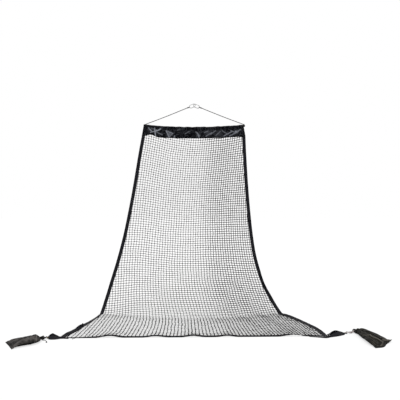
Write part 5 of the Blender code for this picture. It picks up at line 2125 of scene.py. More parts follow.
@dataclass(frozen=True)
class CornerTail:
    """The twisted webbing from a bottom corner to its eyelet."""

    side: Side
    reaches: tuple
    rolls: tuple
    eyelet_reach: tuple
    lining_low: tuple
    lining_top: tuple
    width: float = 0.050
    end_width: float = 0.030
    thickness: float = 0.0024
    eyelet_lift: float = 0.0150
    belly: float = 0.012
    belly_share: tuple = (0.12, 0.76)
    straight_share: float = 0.12
    hem_back: float = 0.060
    plate_share: float = 0.62
    droop: float = 0.009
    droop_power: float = 3.5
    lining_wave: tuple = (91, 0.02, 0.0015)
    lining_belly: float = 0.004
    ring_seat: float = 0.0004
    ring_profile: tuple = ((0.0042, 0.0008), (0.0046, 0.0012), (0.0066, 0.0012), (0.0085, 0.0005),
                           (0.0084, 0.0), (0.0055, 0.0))
    steps: int = 90
    columns: int = 9

    @property
    def eyelet(self) -> np.ndarray:
        """Returns the eyelet's middle."""
        place = corner(self.side) + np.array(self.eyelet_reach)
        return np.array([place[0], place[1], FLOOR + self.eyelet_lift])

    def lines(self) -> tuple[np.ndarray, np.ndarray, np.ndarray, np.ndarray]:
        """Draws the webbing's middle line.

        Args:
            None.

        Returns:
            Its points, its wide direction, its face's direction and its width.
        """
        place = corner(self.side)
        sign = self.side.value
        route = [np.array([place[0] + x, place[1] + y, FLOOR + z]) for x, y, z in self.reaches]
        downs = np.array([CURTAIN.length - self.hem_back, CURTAIN.length])
        edge_x = CURTAIN.edges(downs)[1 if self.side is Side.RIGHT else 0]
        ends = CURTAIN.place(edge_x, downs)
        edge = unit(ends[1] - ends[0])
        outward = np.cross(edge, UP)
        outward = outward * np.sign(outward[0] * sign)
        first = ends[0] + edge * (self.hem_back - self.width / 2 - GAP) + outward * GAP
        heading = self.eyelet - route[-1]
        heading[2] = 0.0
        heading = unit(heading)
        plate = heading * (self.end_width * self.plate_share)
        path = smooth_route([first, *route, self.eyelet - plate], self.steps)
        path = np.concatenate([path, resample(np.array([self.eyelet - plate, self.eyelet + plate]), 16)[1:]])
        share = np.minimum(1.0, np.arange(len(path)) / (self.steps - 1))
        tangent = unit(np.gradient(path, axis=0))
        first_part = np.clip(1 - share / self.straight_share, 0, 1)[:, None]
        tangent = unit(tangent * (1 - first_part) + outward * first_part)
        level = unit(np.cross(UP, tangent))
        up = unit(np.cross(tangent, level))
        roll_pairs = tuple((k / (len(self.rolls) - 1), roll) for k, roll in enumerate(self.rolls))
        roll = np.radians(hermite(roll_pairs, share))[:, None]
        wide = level * np.cos(roll) + up * np.sin(roll)
        face = up * np.cos(roll) - level * np.sin(roll)
        start, run = self.belly_share
        belly = self.belly * np.sin(np.pi * np.clip((share - start) / run, 0.0, 1.0)) ** 2
        return path, wide, face, self.width + (self.end_width - self.width) * share + belly

    def build(self, cloth: bpy.types.Material, thread: bpy.types.Material,
              metal: bpy.types.Material) -> list[bpy.types.Object]:
        """Makes the webbing, its stitches and its eyelet.

        Args:
            cloth: The webbing's material.
            thread: The stitches' material.
            metal: The eyelet's material.

        Returns:
            The pieces.
        """
        path, wide, face, width = self.lines()
        share = np.linspace(-0.5, 0.5, self.columns)
        points = path[:, None] + wide[:, None] * (width[:, None] * share[None])[..., None]
        normal = np.broadcast_to(face[:, None], points.shape)
        curl = -self.droop * np.abs(2 * share) ** self.droop_power
        points = points + normal * curl[None, :, None]
        sunk = FLOOR + self.thickness - points[..., 2].min(axis=1)
        points[..., 2] += np.maximum(0.0, sunk)[:, None]
        run = run_along(path)
        uv = np.stack(np.meshgrid(run, share * self.width, indexing="ij")[::-1], axis=-1)
        name = self.side.word + "_tail_webbing"
        tail = sheet_object(name, points, normal, self.thickness / 2, cloth, uv)
        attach(tail, "curtain")
        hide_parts(self.side.word + "_corner_tail")
        routes = []
        fronts = []
        for column in (1, self.columns - 2):
            for sign in (1.0, -1.0):
                routes.append(points[:, column] + face * (sign * (self.thickness / 2 + THREAD_LIFT)))
                fronts.append(face * sign)
        seams = Stitching().row(name + "_seams", routes, fronts, thread)
        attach(seams, "curtain")
        return [tail, seams, self.lining(cloth), self.ring(metal)]

    def lining(self, cloth: bpy.types.Material) -> bpy.types.Object:
        """Makes the end of the hem's tape, which runs on in front of the webbing and stands on its edge.

        Args:
            cloth: The webbing's material.

        Returns:
            The tape.
        """
        place = corner(self.side)
        base = np.array([place[0], place[1], FLOOR])
        low, top = [smooth_route([base + np.array(knot) for knot in line], self.steps)
                    for line in (self.lining_low, self.lining_top)]
        share = np.linspace(0.0, 1.0, self.steps)
        off = np.linspace(0.0, 1.0, self.columns)
        face = unit(np.cross(np.gradient(low, axis=0), top - low))
        seed, pitch, reach = self.lining_wave
        wave = Noise(seed, pitch).at(share * length_of(low) + 1, share) * reach
        belly = self.lining_belly * np.sin(np.pi * off)[None] + wave[:, None] * off[None]
        points = low[:, None] * (1.0 - off[None, :, None]) + top[:, None] * off[None, :, None]
        points = points + face[:, None] * belly[..., None]
        wide = np.linalg.norm(top - low, axis=1)
        run = np.broadcast_to(share[:, None] * length_of(low), belly.shape)
        uv = np.stack([run, wide[:, None] * off[None]], axis=-1)
        name = self.side.word + "_tail_lining"
        normal = np.broadcast_to(face[:, None], points.shape)
        tape = sheet_object(name, points, normal, self.thickness / 2, cloth, uv)
        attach(tape, "curtain")
        return tape

    def ring(self, metal: bpy.types.Material) -> bpy.types.Object:
        """Makes the rolled eyelet.

        Args:
            metal: The eyelet's material.

        Returns:
            The eyelet.
        """
        around_it = 40
        turn = 2 * np.pi * np.arange(around_it) / around_it
        seat = self.thickness / 2 + self.ring_seat
        lower = [(radius, -seat - height) for radius, height in self.ring_profile]
        upper = [(radius, seat + height) for radius, height in self.ring_profile[::-1]]
        profile = np.array(lower + upper)
        rings = np.stack([
            profile[None, :, 0] * np.cos(turn)[:, None],
            profile[None, :, 0] * np.sin(turn)[:, None],
            np.broadcast_to(profile[None, :, 1], (around_it, len(profile))),
        ], axis=-1) + self.eyelet
        count = len(profile)
        faces = grid_faces(around_it + 1, count, round_=True) % (around_it * count)
        ring = mesh_object(self.side.word + "_eyelet_ring", rings.reshape(-1, 3), faces, metal)
        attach(ring, "curtain")
        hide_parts(self.side.word + "_eyelet")
        return ring


@dataclass(frozen=True)
class PegLoop:
    """The small cord triangle on the front edge."""

    inset: float = 0.171
    half: float = 0.018
    reach: float = 0.048
    radius: float = 0.002
    stand_off: float = 0.0023
    clear: float = 0.0004
    corner_share: float = 0.22
    points: int = 90
    lays: int = 12
    strand_reach: float = 0.0008
    strand_radius: float = 0.0012

    def build(self, material: bpy.types.Material) -> bpy.types.Object:
        """Makes the loop.

        Args:
            material: Its fibre.

        Returns:
            The loop.
        """
        middle = corner(Side.LEFT)[0] + self.inset
        ends = CURTAIN.place(np.array([middle - self.half, middle + self.half]), np.float64(CURTAIN.length))
        base = FLOOR + self.radius + self.clear
        left = np.array([ends[0, 0], ends[0, 1] - self.stand_off, base])
        right = np.array([ends[1, 0], ends[1, 1] - self.stand_off, base])
        tip = (left + right) / 2 + np.array([0.0, self.stand_off - self.reach, 0.0])
        knots = []
        corners = (left, right, tip)
        for k, knot in enumerate(corners):
            before = corners[k - 1]
            after = corners[(k + 1) % 3]
            for t in np.linspace(0.0, 1.0, 9):
                enter = knot + (before - knot) * self.corner_share
                leave = knot + (after - knot) * self.corner_share
                knots.append(enter * (1 - t) ** 2 + knot * (2 * t * (1 - t)) + leave * t * t)
        route = np.array(knots)
        closed = resample(np.concatenate([route, route[:1]]), self.points + 1)[:-1]
        turn = 2 * np.pi * np.arange(self.points) / self.points * self.lays
        side = unit(np.cross(np.roll(closed, -1, axis=0) - np.roll(closed, 1, axis=0), UP))
        parts = []
        for k in range(2):
            angle = turn + np.pi * k
            off = around(angle, side, UP)
            parts.append(tube_arrays(closed + off * self.strand_reach, self.strand_radius, 6, closed=True))
        loop = mesh_object("left_peg_cord", *join(parts), material)
        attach(loop, "curtain")
        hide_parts("left_peg_loop")
        return loop


# The sand bags


LEFT_BAG_ROWS = ((0.0, 0.06, 0.42), (0.05, 0.30, 0.66), (0.12, 0.60, 0.88), (0.22, 0.86, 0.98),
                 (0.36, 0.97, 0.95),
                 (0.52, 0.99, 0.92), (0.70, 1.0, 0.84), (0.86, 1.0, 0.56), (0.955, 0.99, 0.24),
                 (1.0, 0.985, 0.09))
LEFT_BAG_SLOPES = ((-1.0, 0.60), (-0.5, 0.76), (0.0, 0.97), (0.6, 1.04), (1.0, 1.0))
# In the fold tables, each fold is its start share, start across, end share, end across, rise, half width and
# painted highlight strength.
LEFT_BAG_FOLDS = ((0.12, -0.25, 0.22, 0.05, 0.010, 0.030, 0.05),
                  (0.36, -0.50, 0.41, 0.80, -0.010, 0.011, 0.0),
                  (0.90, 0.66, 0.60, 0.46, 0.003, 0.046, 0.34), (0.60, 0.46, 0.30, 0.62, 0.005, 0.024, 0.34),
                  (0.14, 0.12, 0.26, 0.86, 0.007, 0.009, 0.70),
                  (0.07, -0.35, 0.30, -0.78, 0.005, 0.009, 0.15),
                  (0.06, 0.35, 0.17, 0.78, 0.005, 0.008, 0.15), (0.45, 0.10, 0.72, 0.28, -0.006, 0.012, 0.0),
                  (0.52, -0.10, 0.82, 0.02, 0.005, 0.014, 0.45), (0.70, 0.36, 0.93, 0.48, -0.005, 0.010, 0.0),
                  (0.42, -0.60, 0.80, -0.72, -0.005, 0.012, 0.0),
                  (0.30, 0.05, 0.44, 0.10, 0.004, 0.012, 0.30),
                  (0.46, 0.62, 0.52, 0.20, -0.004, 0.008, 0.0), (0.24, -0.10, 0.33, 0.60, -0.005, 0.009, 0.0))
RIGHT_BAG_ROWS = ((0.0, 0.06, 0.46), (0.04, 0.30, 0.76), (0.09, 0.40, 0.92), (0.18, 0.51, 1.0),
                  (0.32, 0.68, 1.0),
                  (0.50, 0.805, 1.0), (0.70, 0.94, 0.90), (0.86, 0.985, 0.64), (0.955, 0.98, 0.30),
                  (1.0, 0.985, 0.09))
RIGHT_BAG_SHIFTS = ((0.0, 0.0), (0.04, 0.0174), (0.09, 0.031), (0.18, 0.0365), (0.32, 0.0348), (0.50, 0.0252),
                    (0.70, 0.0104), (0.86, 0.002), (0.97, 0.0), (1.0, 0.0))
RIGHT_BAG_SLOPES = ((-1.0, 1.0), (-0.4, 1.0), (-0.1, 0.97), (0.3, 0.80), (0.7, 0.58), (1.0, 0.45))
RIGHT_BAG_FOLDS = ((0.24, -0.22, 0.48, -0.06, -0.034, 0.014, 0.0),
                   (0.48, -0.06, 0.80, 0.20, -0.036, 0.015, 0.0),
                   (0.46, -0.68, 0.62, -0.42, 0.010, 0.010, 0.80),
                   (0.62, -0.42, 0.90, -0.04, 0.012, 0.009, 1.0),
                   (0.90, 0.22, 0.98, -0.52, 0.009, 0.009, 0.55),
                   (0.10, -0.06, 0.22, 0.14, -0.012, 0.006, 0.0),
                   (0.10, 0.12, 0.36, 0.36, 0.010, 0.018, 0.12), (0.44, 0.40, 0.62, 0.52, -0.010, 0.016, 0.0),
                   (0.82, 0.50, 0.97, 0.72, 0.016, 0.030, 0.45), (0.86, 0.30, 0.96, 0.58, 0.004, 0.008, 0.80),
                   (0.06, -0.16, 0.34, -0.50, 0.006, 0.009, 0.12),
                   (0.26, -0.50, 0.60, -0.62, -0.007, 0.010, 0.0),
                   (0.56, -0.62, 0.90, -0.58, 0.006, 0.010, 0.22),
                   (0.74, -0.40, 0.98, -0.30, -0.008, 0.009, 0.0),
                   (0.80, -0.80, 0.97, -0.70, 0.005, 0.008, 0.25),
                   (0.30, 0.00, 0.44, 0.20, 0.006, 0.010, 0.08))
LEVEL_SHIFTS = ((0.0, 0.0), (1.0, 0.0))


@dataclass(frozen=True)
class SandBag:
    """A sand bag with a gathered, tied neck."""

    side: Side
    eyelet: tuple
    neck_reach: tuple
    heading_deg: float
    lean: float
    length: float
    half: float
    height: float
    rows: tuple
    slopes: tuple
    folds: tuple
    shifts: tuple
    end_bulge: tuple
    tip_lift: float
    neck_half: float = 0.012
    neck_reach_along: float = 0.0055
    neck_lift: float = 0.022
    mouth_half: float = 0.0215
    mouth_length: float = 0.036
    mouth_fill: tuple = ((0.0, 0.0), (0.14, 0.75), (0.45, 1.1), (1.0, 1.0))
    mouth_flat: float = 0.92
    mouth_wide: float = 1.16
    around: int = 120
    flat_share: float = 0.10
    shoulder: float = 0.05
    sewn_rows: int = 5
    most_moved: float = 0.006
    cloth_half: float = 0.0009
    slump_drop: float = 0.002
    ragged: tuple = (81, 0.045, 0.022)
    highlight_share: float = 0.6
    tip_share: float = 0.28
    pleats: tuple = (11, 17)
    pleat_share: float = 0.6
    pleat_high: tuple = (0.0006, 0.0026)
    neck_pleat: float = 0.0005
    body_pleat: float = 0.0020
    fan_share: float = 0.5
    pleat_highlight: float = 0.35
    fold: tuple = (73, 0.055, 0.0030)
    crumple: tuple = (74, 0.040, 0.0022)
    crease_half: float = 0.004
    crease_highlight_share: float = 0.22
    mouth_rows: int = 16
    neck_rows: int = 6
    shoulder_rows: int = 9
    body_rows: int = 84
    lining_share: float = 0.45
    lining_deep: float = 0.012
    settle_frames: int = 20
    cloth_mass: float = 0.25
    cloth_stretch: float = 12.0
    cloth_bending: float = 0.15
    cloth_grows: float = 0.05
    cloth_pressure: float = 1.2
    pleat_start: float = 0.9
    on_floor: float = 0.002
    held_rows: tuple = (30, 4)
    seam_stitch: tuple = (0.0050, 0.0007)

    @property
    def along(self) -> np.ndarray:
        """Returns the direction from the neck to the sewn end."""
        turn = math.radians(self.heading_deg)
        return np.array([math.cos(turn), math.sin(turn), 0.0])

    @property
    def across(self) -> np.ndarray:
        """Returns the direction across the bag."""
        return np.cross(UP, self.along)

    @property
    def neck(self) -> np.ndarray:
        """Returns the neck's place on the floor."""
        return np.array([self.eyelet[0] + self.neck_reach[0], self.eyelet[1] + self.neck_reach[1], FLOOR])

    def ring(self, place: float, radius: float, turn: np.ndarray, waves: np.ndarray,
             slump: float) -> np.ndarray:
        """Makes a pleated section that is more or less flattened.

        Args:
            place: The distance along.
            radius: Its radius.
            turn: The angles round it.
            waves: The pleats' height at each angle.
            slump: 0 for a round section to 1 for a slumped one.

        Returns:
            Its points.
        """
        centre = self.neck + self.along * place + UP * (self.neck_lift - self.slump_drop * slump)
        size = radius + waves
        wide = size * (1.0 + (self.mouth_wide - 1.0) * slump) * np.cos(turn)
        high = size * (1.0 + (self.mouth_flat - 1.0) * slump) * np.sin(turn)
        points = centre + wide[:, None] * self.across + high[:, None] * UP
        points[:, 2] = np.maximum(points[:, 2], FLOOR + FLOOR_CLEAR)
        return points

    def section(self, share: float, turn: np.ndarray, waves: np.ndarray) -> tuple[np.ndarray, np.ndarray]:
        """Makes a section that lies on the floor, with its folds.

        Args:
            share: How far down the bag it is.
            turn: The angles round it.
            waves: How far small folds stand out at each angle.

        Returns:
            Its points and how much highlight is painted on the cloth at each, along the folds' ridges.
        """
        widths = tuple((row[0], row[1]) for row in self.rows)
        heights = tuple((row[0], row[2]) for row in self.rows)
        half = self.neck_half + (self.half - self.neck_half) * float(hermite(widths, np.float64(share)))
        height = self.height * float(hermite(heights, np.float64(share)))
        rise = (0.5 + 0.5 * np.sin(turn) - self.flat_share) / (1.0 - self.flat_share)
        seed, pitch, reach = self.ragged
        along = np.full_like(turn, share * self.length)
        ragged = 1.0 + reach * Noise(seed, pitch).at(np.sign(np.cos(turn)) + 3, along)
        x = half * np.cos(turn) * ragged
        lifted = np.clip(rise, 0.0, 1.0) ** 0.5
        up = height * np.maximum(0.0, rise) * hermite(self.slopes, x / self.half)
        painted_highlight = np.zeros_like(x)
        run = np.full_like(x, share * self.length)
        # Each fold's last number paints a highlight along its ridge, on the upper side.
        for first, first_x, last, last_x, high, wide, light in self.folds:
            line = (first * self.length, first_x * self.half, last * self.length, last_x * self.half)
            near = stroke(run, x, line, wide)
            up = up + high * near * lifted
            wear_and_highlight = stroke(run, x, line, wide * self.highlight_share)
            painted_highlight = np.maximum(painted_highlight, light * wear_and_highlight * np.clip(rise * 4, 0, 1))
        centre, reach, far = self.end_bulge
        place = self.length * share + self.lean * x * share
        place = place + far * share ** 5 * bumps(x / self.half, ((centre, reach, 1.0),))
        beside = x + float(hermite(self.shifts, np.float64(share)))
        points = self.neck + place[:, None] * self.along + beside[:, None] * self.across
        at_end = np.clip((share - 1.0 + self.tip_share) / self.tip_share, 0.0, 1.0)
        tip = self.tip_lift * at_end ** 2 * np.clip(x / self.half, 0.0, 1.0) ** 3
        points[:, 2] += np.maximum(0.0, up) + waves * lifted + tip
        return points, painted_highlight

    def rings(self) -> tuple[np.ndarray, np.ndarray]:
        """Makes every section, from the mouth to the sewn end.

        Args:
            None.

        Returns:
            The points and how much highlight is painted on the cloth at each.
        """
        turn = 2 * np.pi * (np.arange(self.around) + 0.5) / self.around
        rng = np.random.default_rng(71 if self.side is Side.LEFT else 72)
        phases = rng.uniform(0, 2 * np.pi, 4)
        coarse, fine = self.pleats
        pleat = np.sin(coarse * turn + phases[0]) + self.pleat_share * np.sin(fine * turn + phases[1])
        out = []
        painted_highlight = []
        low, more = self.pleat_high
        for share in np.linspace(1.0, 0.0, self.mouth_rows):
            place = -self.neck_reach_along - self.mouth_length * share
            fill = float(hermite(self.mouth_fill, np.float64(share)))
            radius = self.neck_half + (self.mouth_half - self.neck_half) * fill
            waves = pleat * (low + more * share)
            out.append(self.ring(place, radius - self.cloth_half, turn, waves, min(1.0, share * 3)))
            # Pleat crests at the mouth get a painted highlight.
            painted_highlight.append(np.clip(pleat - self.pleat_start, 0, 1) * self.pleat_highlight * share)
        for place in np.linspace(-self.neck_reach_along, self.neck_reach_along, self.neck_rows)[1:]:
            out.append(self.ring(place, self.neck_half - self.cloth_half, turn, pleat * self.neck_pleat, 0.0))
            painted_highlight.append(np.zeros(self.around))
        base, _ = self.section(self.shoulder, turn, pleat * self.body_pleat)
        last = out[-1]
        for t in np.linspace(0.0, 1.0, self.shoulder_rows)[1:-1]:
            mixed = last * (1 - ease(t)) + base * ease(t)
            place = (last * (1 - t) + base * t) @ self.along
            mixed += self.along * (place - mixed @ self.along)[:, None]
            out.append(mixed)
            painted_highlight.append(np.zeros(self.around))
        seed, pitch, fold_high = self.fold
        folds = Noise(seed + int(self.side.value), pitch)
        seed, pitch, crumple_high = self.crumple
        crumple = Creases(seed + int(self.side.value), 2 * self.half, self.length * 1.2, pitch)
        for share in np.linspace(self.shoulder, 1.0, self.body_rows):
            fan = np.clip(1 - share / self.fan_share, 0, 1)
            x = self.half * np.cos(turn)
            place = np.full_like(x, share * self.length)
            wave = pleat * self.body_pleat * fan + folds.at(x + 2, place) * fold_high * (1 - fan)
            wave += crumple.at(x + self.half, place) * crumple_high
            points, wear_and_highlight = self.section(share, turn, wave)
            out.append(points)
            # Creases on the bag's upper side get a painted highlight.
            lines = crumple.lines(x + self.half, place, self.crease_half) * self.crease_highlight_share
            painted_highlight.append(np.maximum(wear_and_highlight, lines * np.clip(np.sin(turn) * 3 + 1, 0, 1)))
        return np.array(out), np.array(painted_highlight)

    def settle(self, bag: bpy.types.Object, held: np.ndarray) -> None:
        """Lets the cloth wrinkle over the sand, in a short simulation.

        Args:
            bag: The bag.
            held: Which of its points stay where they are.

        Returns:
            Nothing.
        """
        before = np.zeros(len(bag.data.vertices) * 3, np.float32)
        bag.data.vertices.foreach_get("co", before)
        before = before.reshape(-1, 3)
        group = bag.vertex_groups.new(name="held")
        group.add([int(k) for k in np.nonzero(held)[0]], 1.0, "REPLACE")
        modifier = bag.modifiers.new("cloth", "CLOTH")
        settings = modifier.settings
        settings.quality = 6
        settings.mass = self.cloth_mass
        settings.tension_stiffness = self.cloth_stretch
        settings.compression_stiffness = self.cloth_stretch
        settings.shear_stiffness = 4.0
        settings.bending_stiffness = self.cloth_bending
        settings.shrink_min = -self.cloth_grows
        settings.use_pressure = True
        settings.uniform_pressure_force = self.cloth_pressure
        settings.vertex_group_mass = "held"
        settings.effector_weights.gravity = 0.0
        modifier.point_cache.frame_start = 1
        modifier.point_cache.frame_end = self.settle_frames
        for step in range(1, self.settle_frames + 1):
            bpy.context.scene.frame_set(step)
        settled = bpy.data.meshes.new_from_object(bag.evaluated_get(bpy.context.evaluated_depsgraph_get()))
        after = np.zeros(len(settled.vertices) * 3, np.float32)
        settled.vertices.foreach_get("co", after)
        bag.modifiers.clear()
        bag.vertex_groups.clear()
        bpy.data.meshes.remove(settled)
        bpy.context.scene.frame_set(1)
        moved = after.reshape(-1, 3) - before
        far = np.linalg.norm(moved, axis=1, keepdims=True)
        moved = moved * np.minimum(1.0, self.most_moved / np.maximum(far, 1e-9))
        points = before + moved
        points[:, 2] = np.maximum(points[:, 2], np.minimum(before[:, 2], FLOOR + FLOOR_CLEAR))
        bag.data.vertices.foreach_set("co", points.astype(np.float32).ravel())
        bag.data.update()
        log.info("%s: the cloth moved by up to %.1f mm", bag.name, 1000 * float(far.max()))

    def build(self, cloth: bpy.types.Material, thread: bpy.types.Material) -> list[bpy.types.Object]:
        """Makes the bag.

        Args:
            cloth: The bag's cloth.
            thread: The seam's thread.

        Returns:
            The pieces.
        """
        rings, painted_highlight = self.rings()
        rows, columns = rings.shape[:2]
        points = rings.reshape(-1, 3)
        kept = self.lining_share
        inner = rings[0] * kept + rings[0].mean(axis=0) * (1.0 - kept) + self.along * self.lining_deep
        points = np.concatenate([points, inner, inner.mean(axis=0)[None], rings[-1].mean(axis=0)[None]])
        faces = [grid_faces(rows, columns, round_=True, turned=True)]
        k = np.arange(columns)
        following = (k + 1) % columns
        first = rows * columns
        faces.append(np.stack([first + k, k, following, first + following], axis=1)[:, ::-1])
        centre = np.full(columns, first + columns)
        faces.append(np.stack([centre, first + following, first + k, centre], axis=1))
        end = np.full(columns, first + columns + 1)
        last = (rows - 1) * columns
        faces.append(np.stack([last + following, last + k, end, end], axis=1)[:, ::-1])
        bag = mesh_object(self.side.word + "_bag_cover", points, np.concatenate(faces), cloth)
        layer = bag.data.uv_layers.new(name="cut")
        corners = np.zeros(len(bag.data.loops), np.int32)
        bag.data.loops.foreach_get("vertex_index", corners)
        flat = np.stack([points @ self.along, points @ self.across], axis=1)
        layer.data.foreach_set("uv", flat[corners].astype(np.float32).ravel())
        # The crease attribute carries the painted highlights.
        mark(bag.data, "crease", np.concatenate([painted_highlight.ravel(), np.zeros(columns + 2)]))
        row = np.repeat(np.arange(rows), columns)
        on_floor = points[:rows * columns, 2] < FLOOR + self.on_floor
        first, last = self.held_rows
        held = (row < first) | (row > rows - last) | on_floor
        self.settle(bag, np.concatenate([held, np.ones(columns + 2, bool)]))
        body = self.side.word + "_bag"
        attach(bag, body)
        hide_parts(self.side.word + "_bag_shell", self.side.word + "_sand_fill")
        return [bag, self.seam(bag, rows, thread)]

    def seam(self, bag: bpy.types.Object, rows: int, thread: bpy.types.Material) -> bpy.types.Object:
        """Sews the end.

        Args:
            bag: The bag.
            rows: How many sections it has.
            thread: The seam's thread.

        Returns:
            The stitches.
        """
        flat = np.zeros(len(bag.data.vertices) * 3, np.float32)
        bag.data.vertices.foreach_get("co", flat)
        grid = flat.reshape(-1, 3)[:rows * self.around].reshape(rows, self.around, 3).astype(float)
        columns = slice(4, self.around // 2 - 4)
        line = grid[rows - 1 - self.sewn_rows, columns]
        normal = unit(np.cross(grid[rows - 2 - self.sewn_rows, columns] - line, np.gradient(line, axis=0)))
        normal = normal * np.sign(normal[:, 2:])
        length, thick = self.seam_stitch
        coarse = Stitching(length=length, thread=thick)
        sewn = coarse.row(self.side.word + "_bag_seam", [line + normal * coarse.dip], [normal], thread)
        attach(sewn, self.side.word + "_bag")
        return sewn


@dataclass(frozen=True)
class TieCord:
    """The cord from under the eyelet to the bag's neck, with its knots."""

    bag: SandBag
    reaches: tuple
    loops: int
    spread: float
    fullness: float
    radius: float = 0.002
    thin_share: float = 0.07
    lay: float = 0.009
    eyelet_under: float = 0.0124
    first_rise: float = 0.004
    first_bend: float = 0.009
    last_run: float = 0.016
    neck_ease: float = 0.0006
    loose_fullness: float = 1.5
    loose_lay: float = 0.011
    loose_turns: float = 2.2
    loose_bulge: float = 0.0052
    loose_bulge_share: tuple = (0.15, 0.7)
    loose_start: float = 3.2
    loose_back: float = 0.001
    spare_turns: float = 2.2
    spare_swells: tuple = ((0.30, 0.10, 1.0), (0.68, 0.12, 1.0))
    spare_ends: tuple = (1.1, 0.02)
    spare_clear: float = 1.2
    turn_pitch: float = 0.98
    loose_knot: tuple = (0.0105, 0.0046, 0.0034)
    loose_core: tuple = (0.0125, 0.002, 0.0042)
    taper: float = 0.6
    stopper_turns: float = 2.4
    stopper_run: tuple = (0.0024, 0.0052)
    stopper_reach: float = 0.0034
    stopper_radius: float = 0.0021
    stopper_core: tuple = (0.0092, 0.0024)

    def route(self) -> np.ndarray:
        """Draws the cord's line.

        Args:
            None.

        Returns:
            Its points.
        """
        eyelet = np.array(self.bag.eyelet)
        start = np.array([eyelet[0], eyelet[1], FLOOR + self.eyelet_under + GAP])
        bore = (self.bag.neck_half + GAP) / math.cos(math.pi / 10)
        outward = self.bag.across * self.bag.side.value
        centre = self.bag.neck + UP * self.bag.neck_lift
        end = centre + outward * ((bore + 2 * self.radius) * math.cos(math.pi / 10) + GAP)
        route = [np.array([eyelet[0] + x, eyelet[1] + y, FLOOR + z]) for x, y, z in self.reaches]
        lead = route[0] - start
        lead[2] = 0.0
        lead = unit(lead)
        bend = start + UP * self.first_rise
        quarter = bend + (lead + UP) * self.first_bend
        diagonal = math.sqrt(0.5)
        eighth = bend + (lead * (1.0 - diagonal) + UP * diagonal) * self.first_bend
        return smooth_route([start, bend, eighth, quarter, *route, end + outward * self.last_run, end], 40)

    def build(self, material: bpy.types.Material, slot: str) -> list[bpy.types.Object]:
        """Makes the cord, its stopper and the turns round the neck.

        Args:
            material: The cord's fibre.
            slot: Not used.

        Returns:
            The pieces.
        """
        word = self.bag.side.word
        route = self.route()
        cord = mesh_object(word + "_tie_rope", *rope_arrays(route, self.radius, self.lay), material)
        parts = []
        full = self.radius * self.fullness
        for k in range(self.loops):
            parts.append(rope_arrays(self.doubled(route, k), full, self.lay, taper=self.taper))
        spare = mesh_object(word + "_tie_spare", *join(parts), material)
        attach(spare, word + "_bag")
        stopper = mesh_object(word + "_stopper", *self.stopper(route[0]), material)
        turns = mesh_object(word + "_neck_turns", *self.turns(), material)
        for piece, node in ((cord, "_tie_cord"), (stopper, "_tie_stopper"), (turns, "_neck_tie")):
            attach(piece, word + "_bag")
            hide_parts(word + node)
        return [cord, stopper, turns, spare]

    def loose_end(self, reaches: tuple, material: bpy.types.Material) -> list[bpy.types.Object]:
        """Lays the cord's other end on the floor, with a knot at its tip.

        Args:
            reaches: Its line, from the bag's neck on the floor.
            material: The cord's fibre.

        Returns:
            The cord and its knot.
        """
        word = self.bag.side.word
        start = self.bag.neck + UP * self.bag.neck_lift
        past = self.bag.neck_half + self.neck_ease + self.loose_start * self.radius
        start = start + self.bag.across * past
        route = smooth_route([start, *[self.bag.neck + np.array(reach) for reach in reaches]], 32)
        radius = self.radius * self.loose_fullness
        cord = mesh_object(word + "_loose_rope", *rope_arrays(route, radius, self.loose_lay), material)
        aim = unit(route[-1] - route[-2])
        share = np.linspace(0.0, 1.0, 73)
        angle = 2 * np.pi * self.loose_turns * share
        across = unit(np.cross(aim, UP))
        up = np.cross(across, aim)
        start, run = self.loose_bulge_share
        bulge = self.loose_bulge * np.sin(np.pi * (start + run * share))
        knot_run, knot_lift, knot_radius = self.loose_knot
        core_run, core_lift, core_radius = self.loose_core
        wound = route[-1] + aim * (knot_run * share - self.loose_back)[:, None] + up * knot_lift
        wound = wound + around(angle, across, up) * bulge[:, None]
        ends = np.array([route[-1] - aim * self.loose_back, route[-1] + aim * core_run + up * core_lift])
        wrap = tube_arrays(wound, knot_radius, 8, up=tuple(aim))
        parts = [wrap, tube_arrays(resample(ends, 8), core_radius, 8)]
        knot = mesh_object(word + "_loose_knot", *join(parts), material)
        for piece in (cord, knot):
            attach(piece, word + "_bag")
        return [cord, knot]

    def doubled(self, route: np.ndarray, number: int) -> np.ndarray:
        """Runs a spare length of the cord loosely round its line, as it is knotted back on itself.

        Args:
            route: The cord's points.
            number: Which spare length it is.

        Returns:
            The spare length's points.
        """
        line = resample(route, 120)[round(120 * self.thin_share):-6]
        side, lift = frames(line)
        share = np.linspace(0.0, 1.0, len(line))
        turn = 2 * np.pi * (share * (self.spare_turns + number) + number / max(1, self.loops))
        knots = bumps(share, self.spare_swells)
        rate, start = self.spare_ends
        bunched = np.sin(np.pi * np.clip(share * rate + start, 0.0, 1.0)) ** 0.5
        reach = self.spread * (1.0 + 0.5 * knots) * bunched
        off = side * np.cos(turn)[:, None] + np.abs(lift * np.sin(turn)[:, None])
        line = line + off * reach[:, None]
        line[:, 2] = np.maximum(line[:, 2], FLOOR + self.radius * self.spare_clear)
        return line

    def stopper(self, top: np.ndarray) -> tuple[np.ndarray, np.ndarray]:
        """Ties the knot under the eyelet.

        Args:
            top: Where the cord enters it.

        Returns:
            The points and faces.
        """
        share = np.linspace(0.0, 1.0, 61)
        angle = 2 * np.pi * self.stopper_turns * share
        start, run = self.stopper_run
        wound = top - UP * (start + run * share)[:, None]
        wound = wound + np.stack([np.cos(angle), np.sin(angle), np.zeros(61)], axis=1) * self.stopper_reach
        core_run, core_radius = self.stopper_core
        core = resample(np.array([top, top - UP * core_run]), 7)
        wrap = tube_arrays(wound, self.stopper_radius, 8)
        return join([wrap, tube_arrays(core, core_radius, 8, up=(1.0, 0.0, 0.0))])

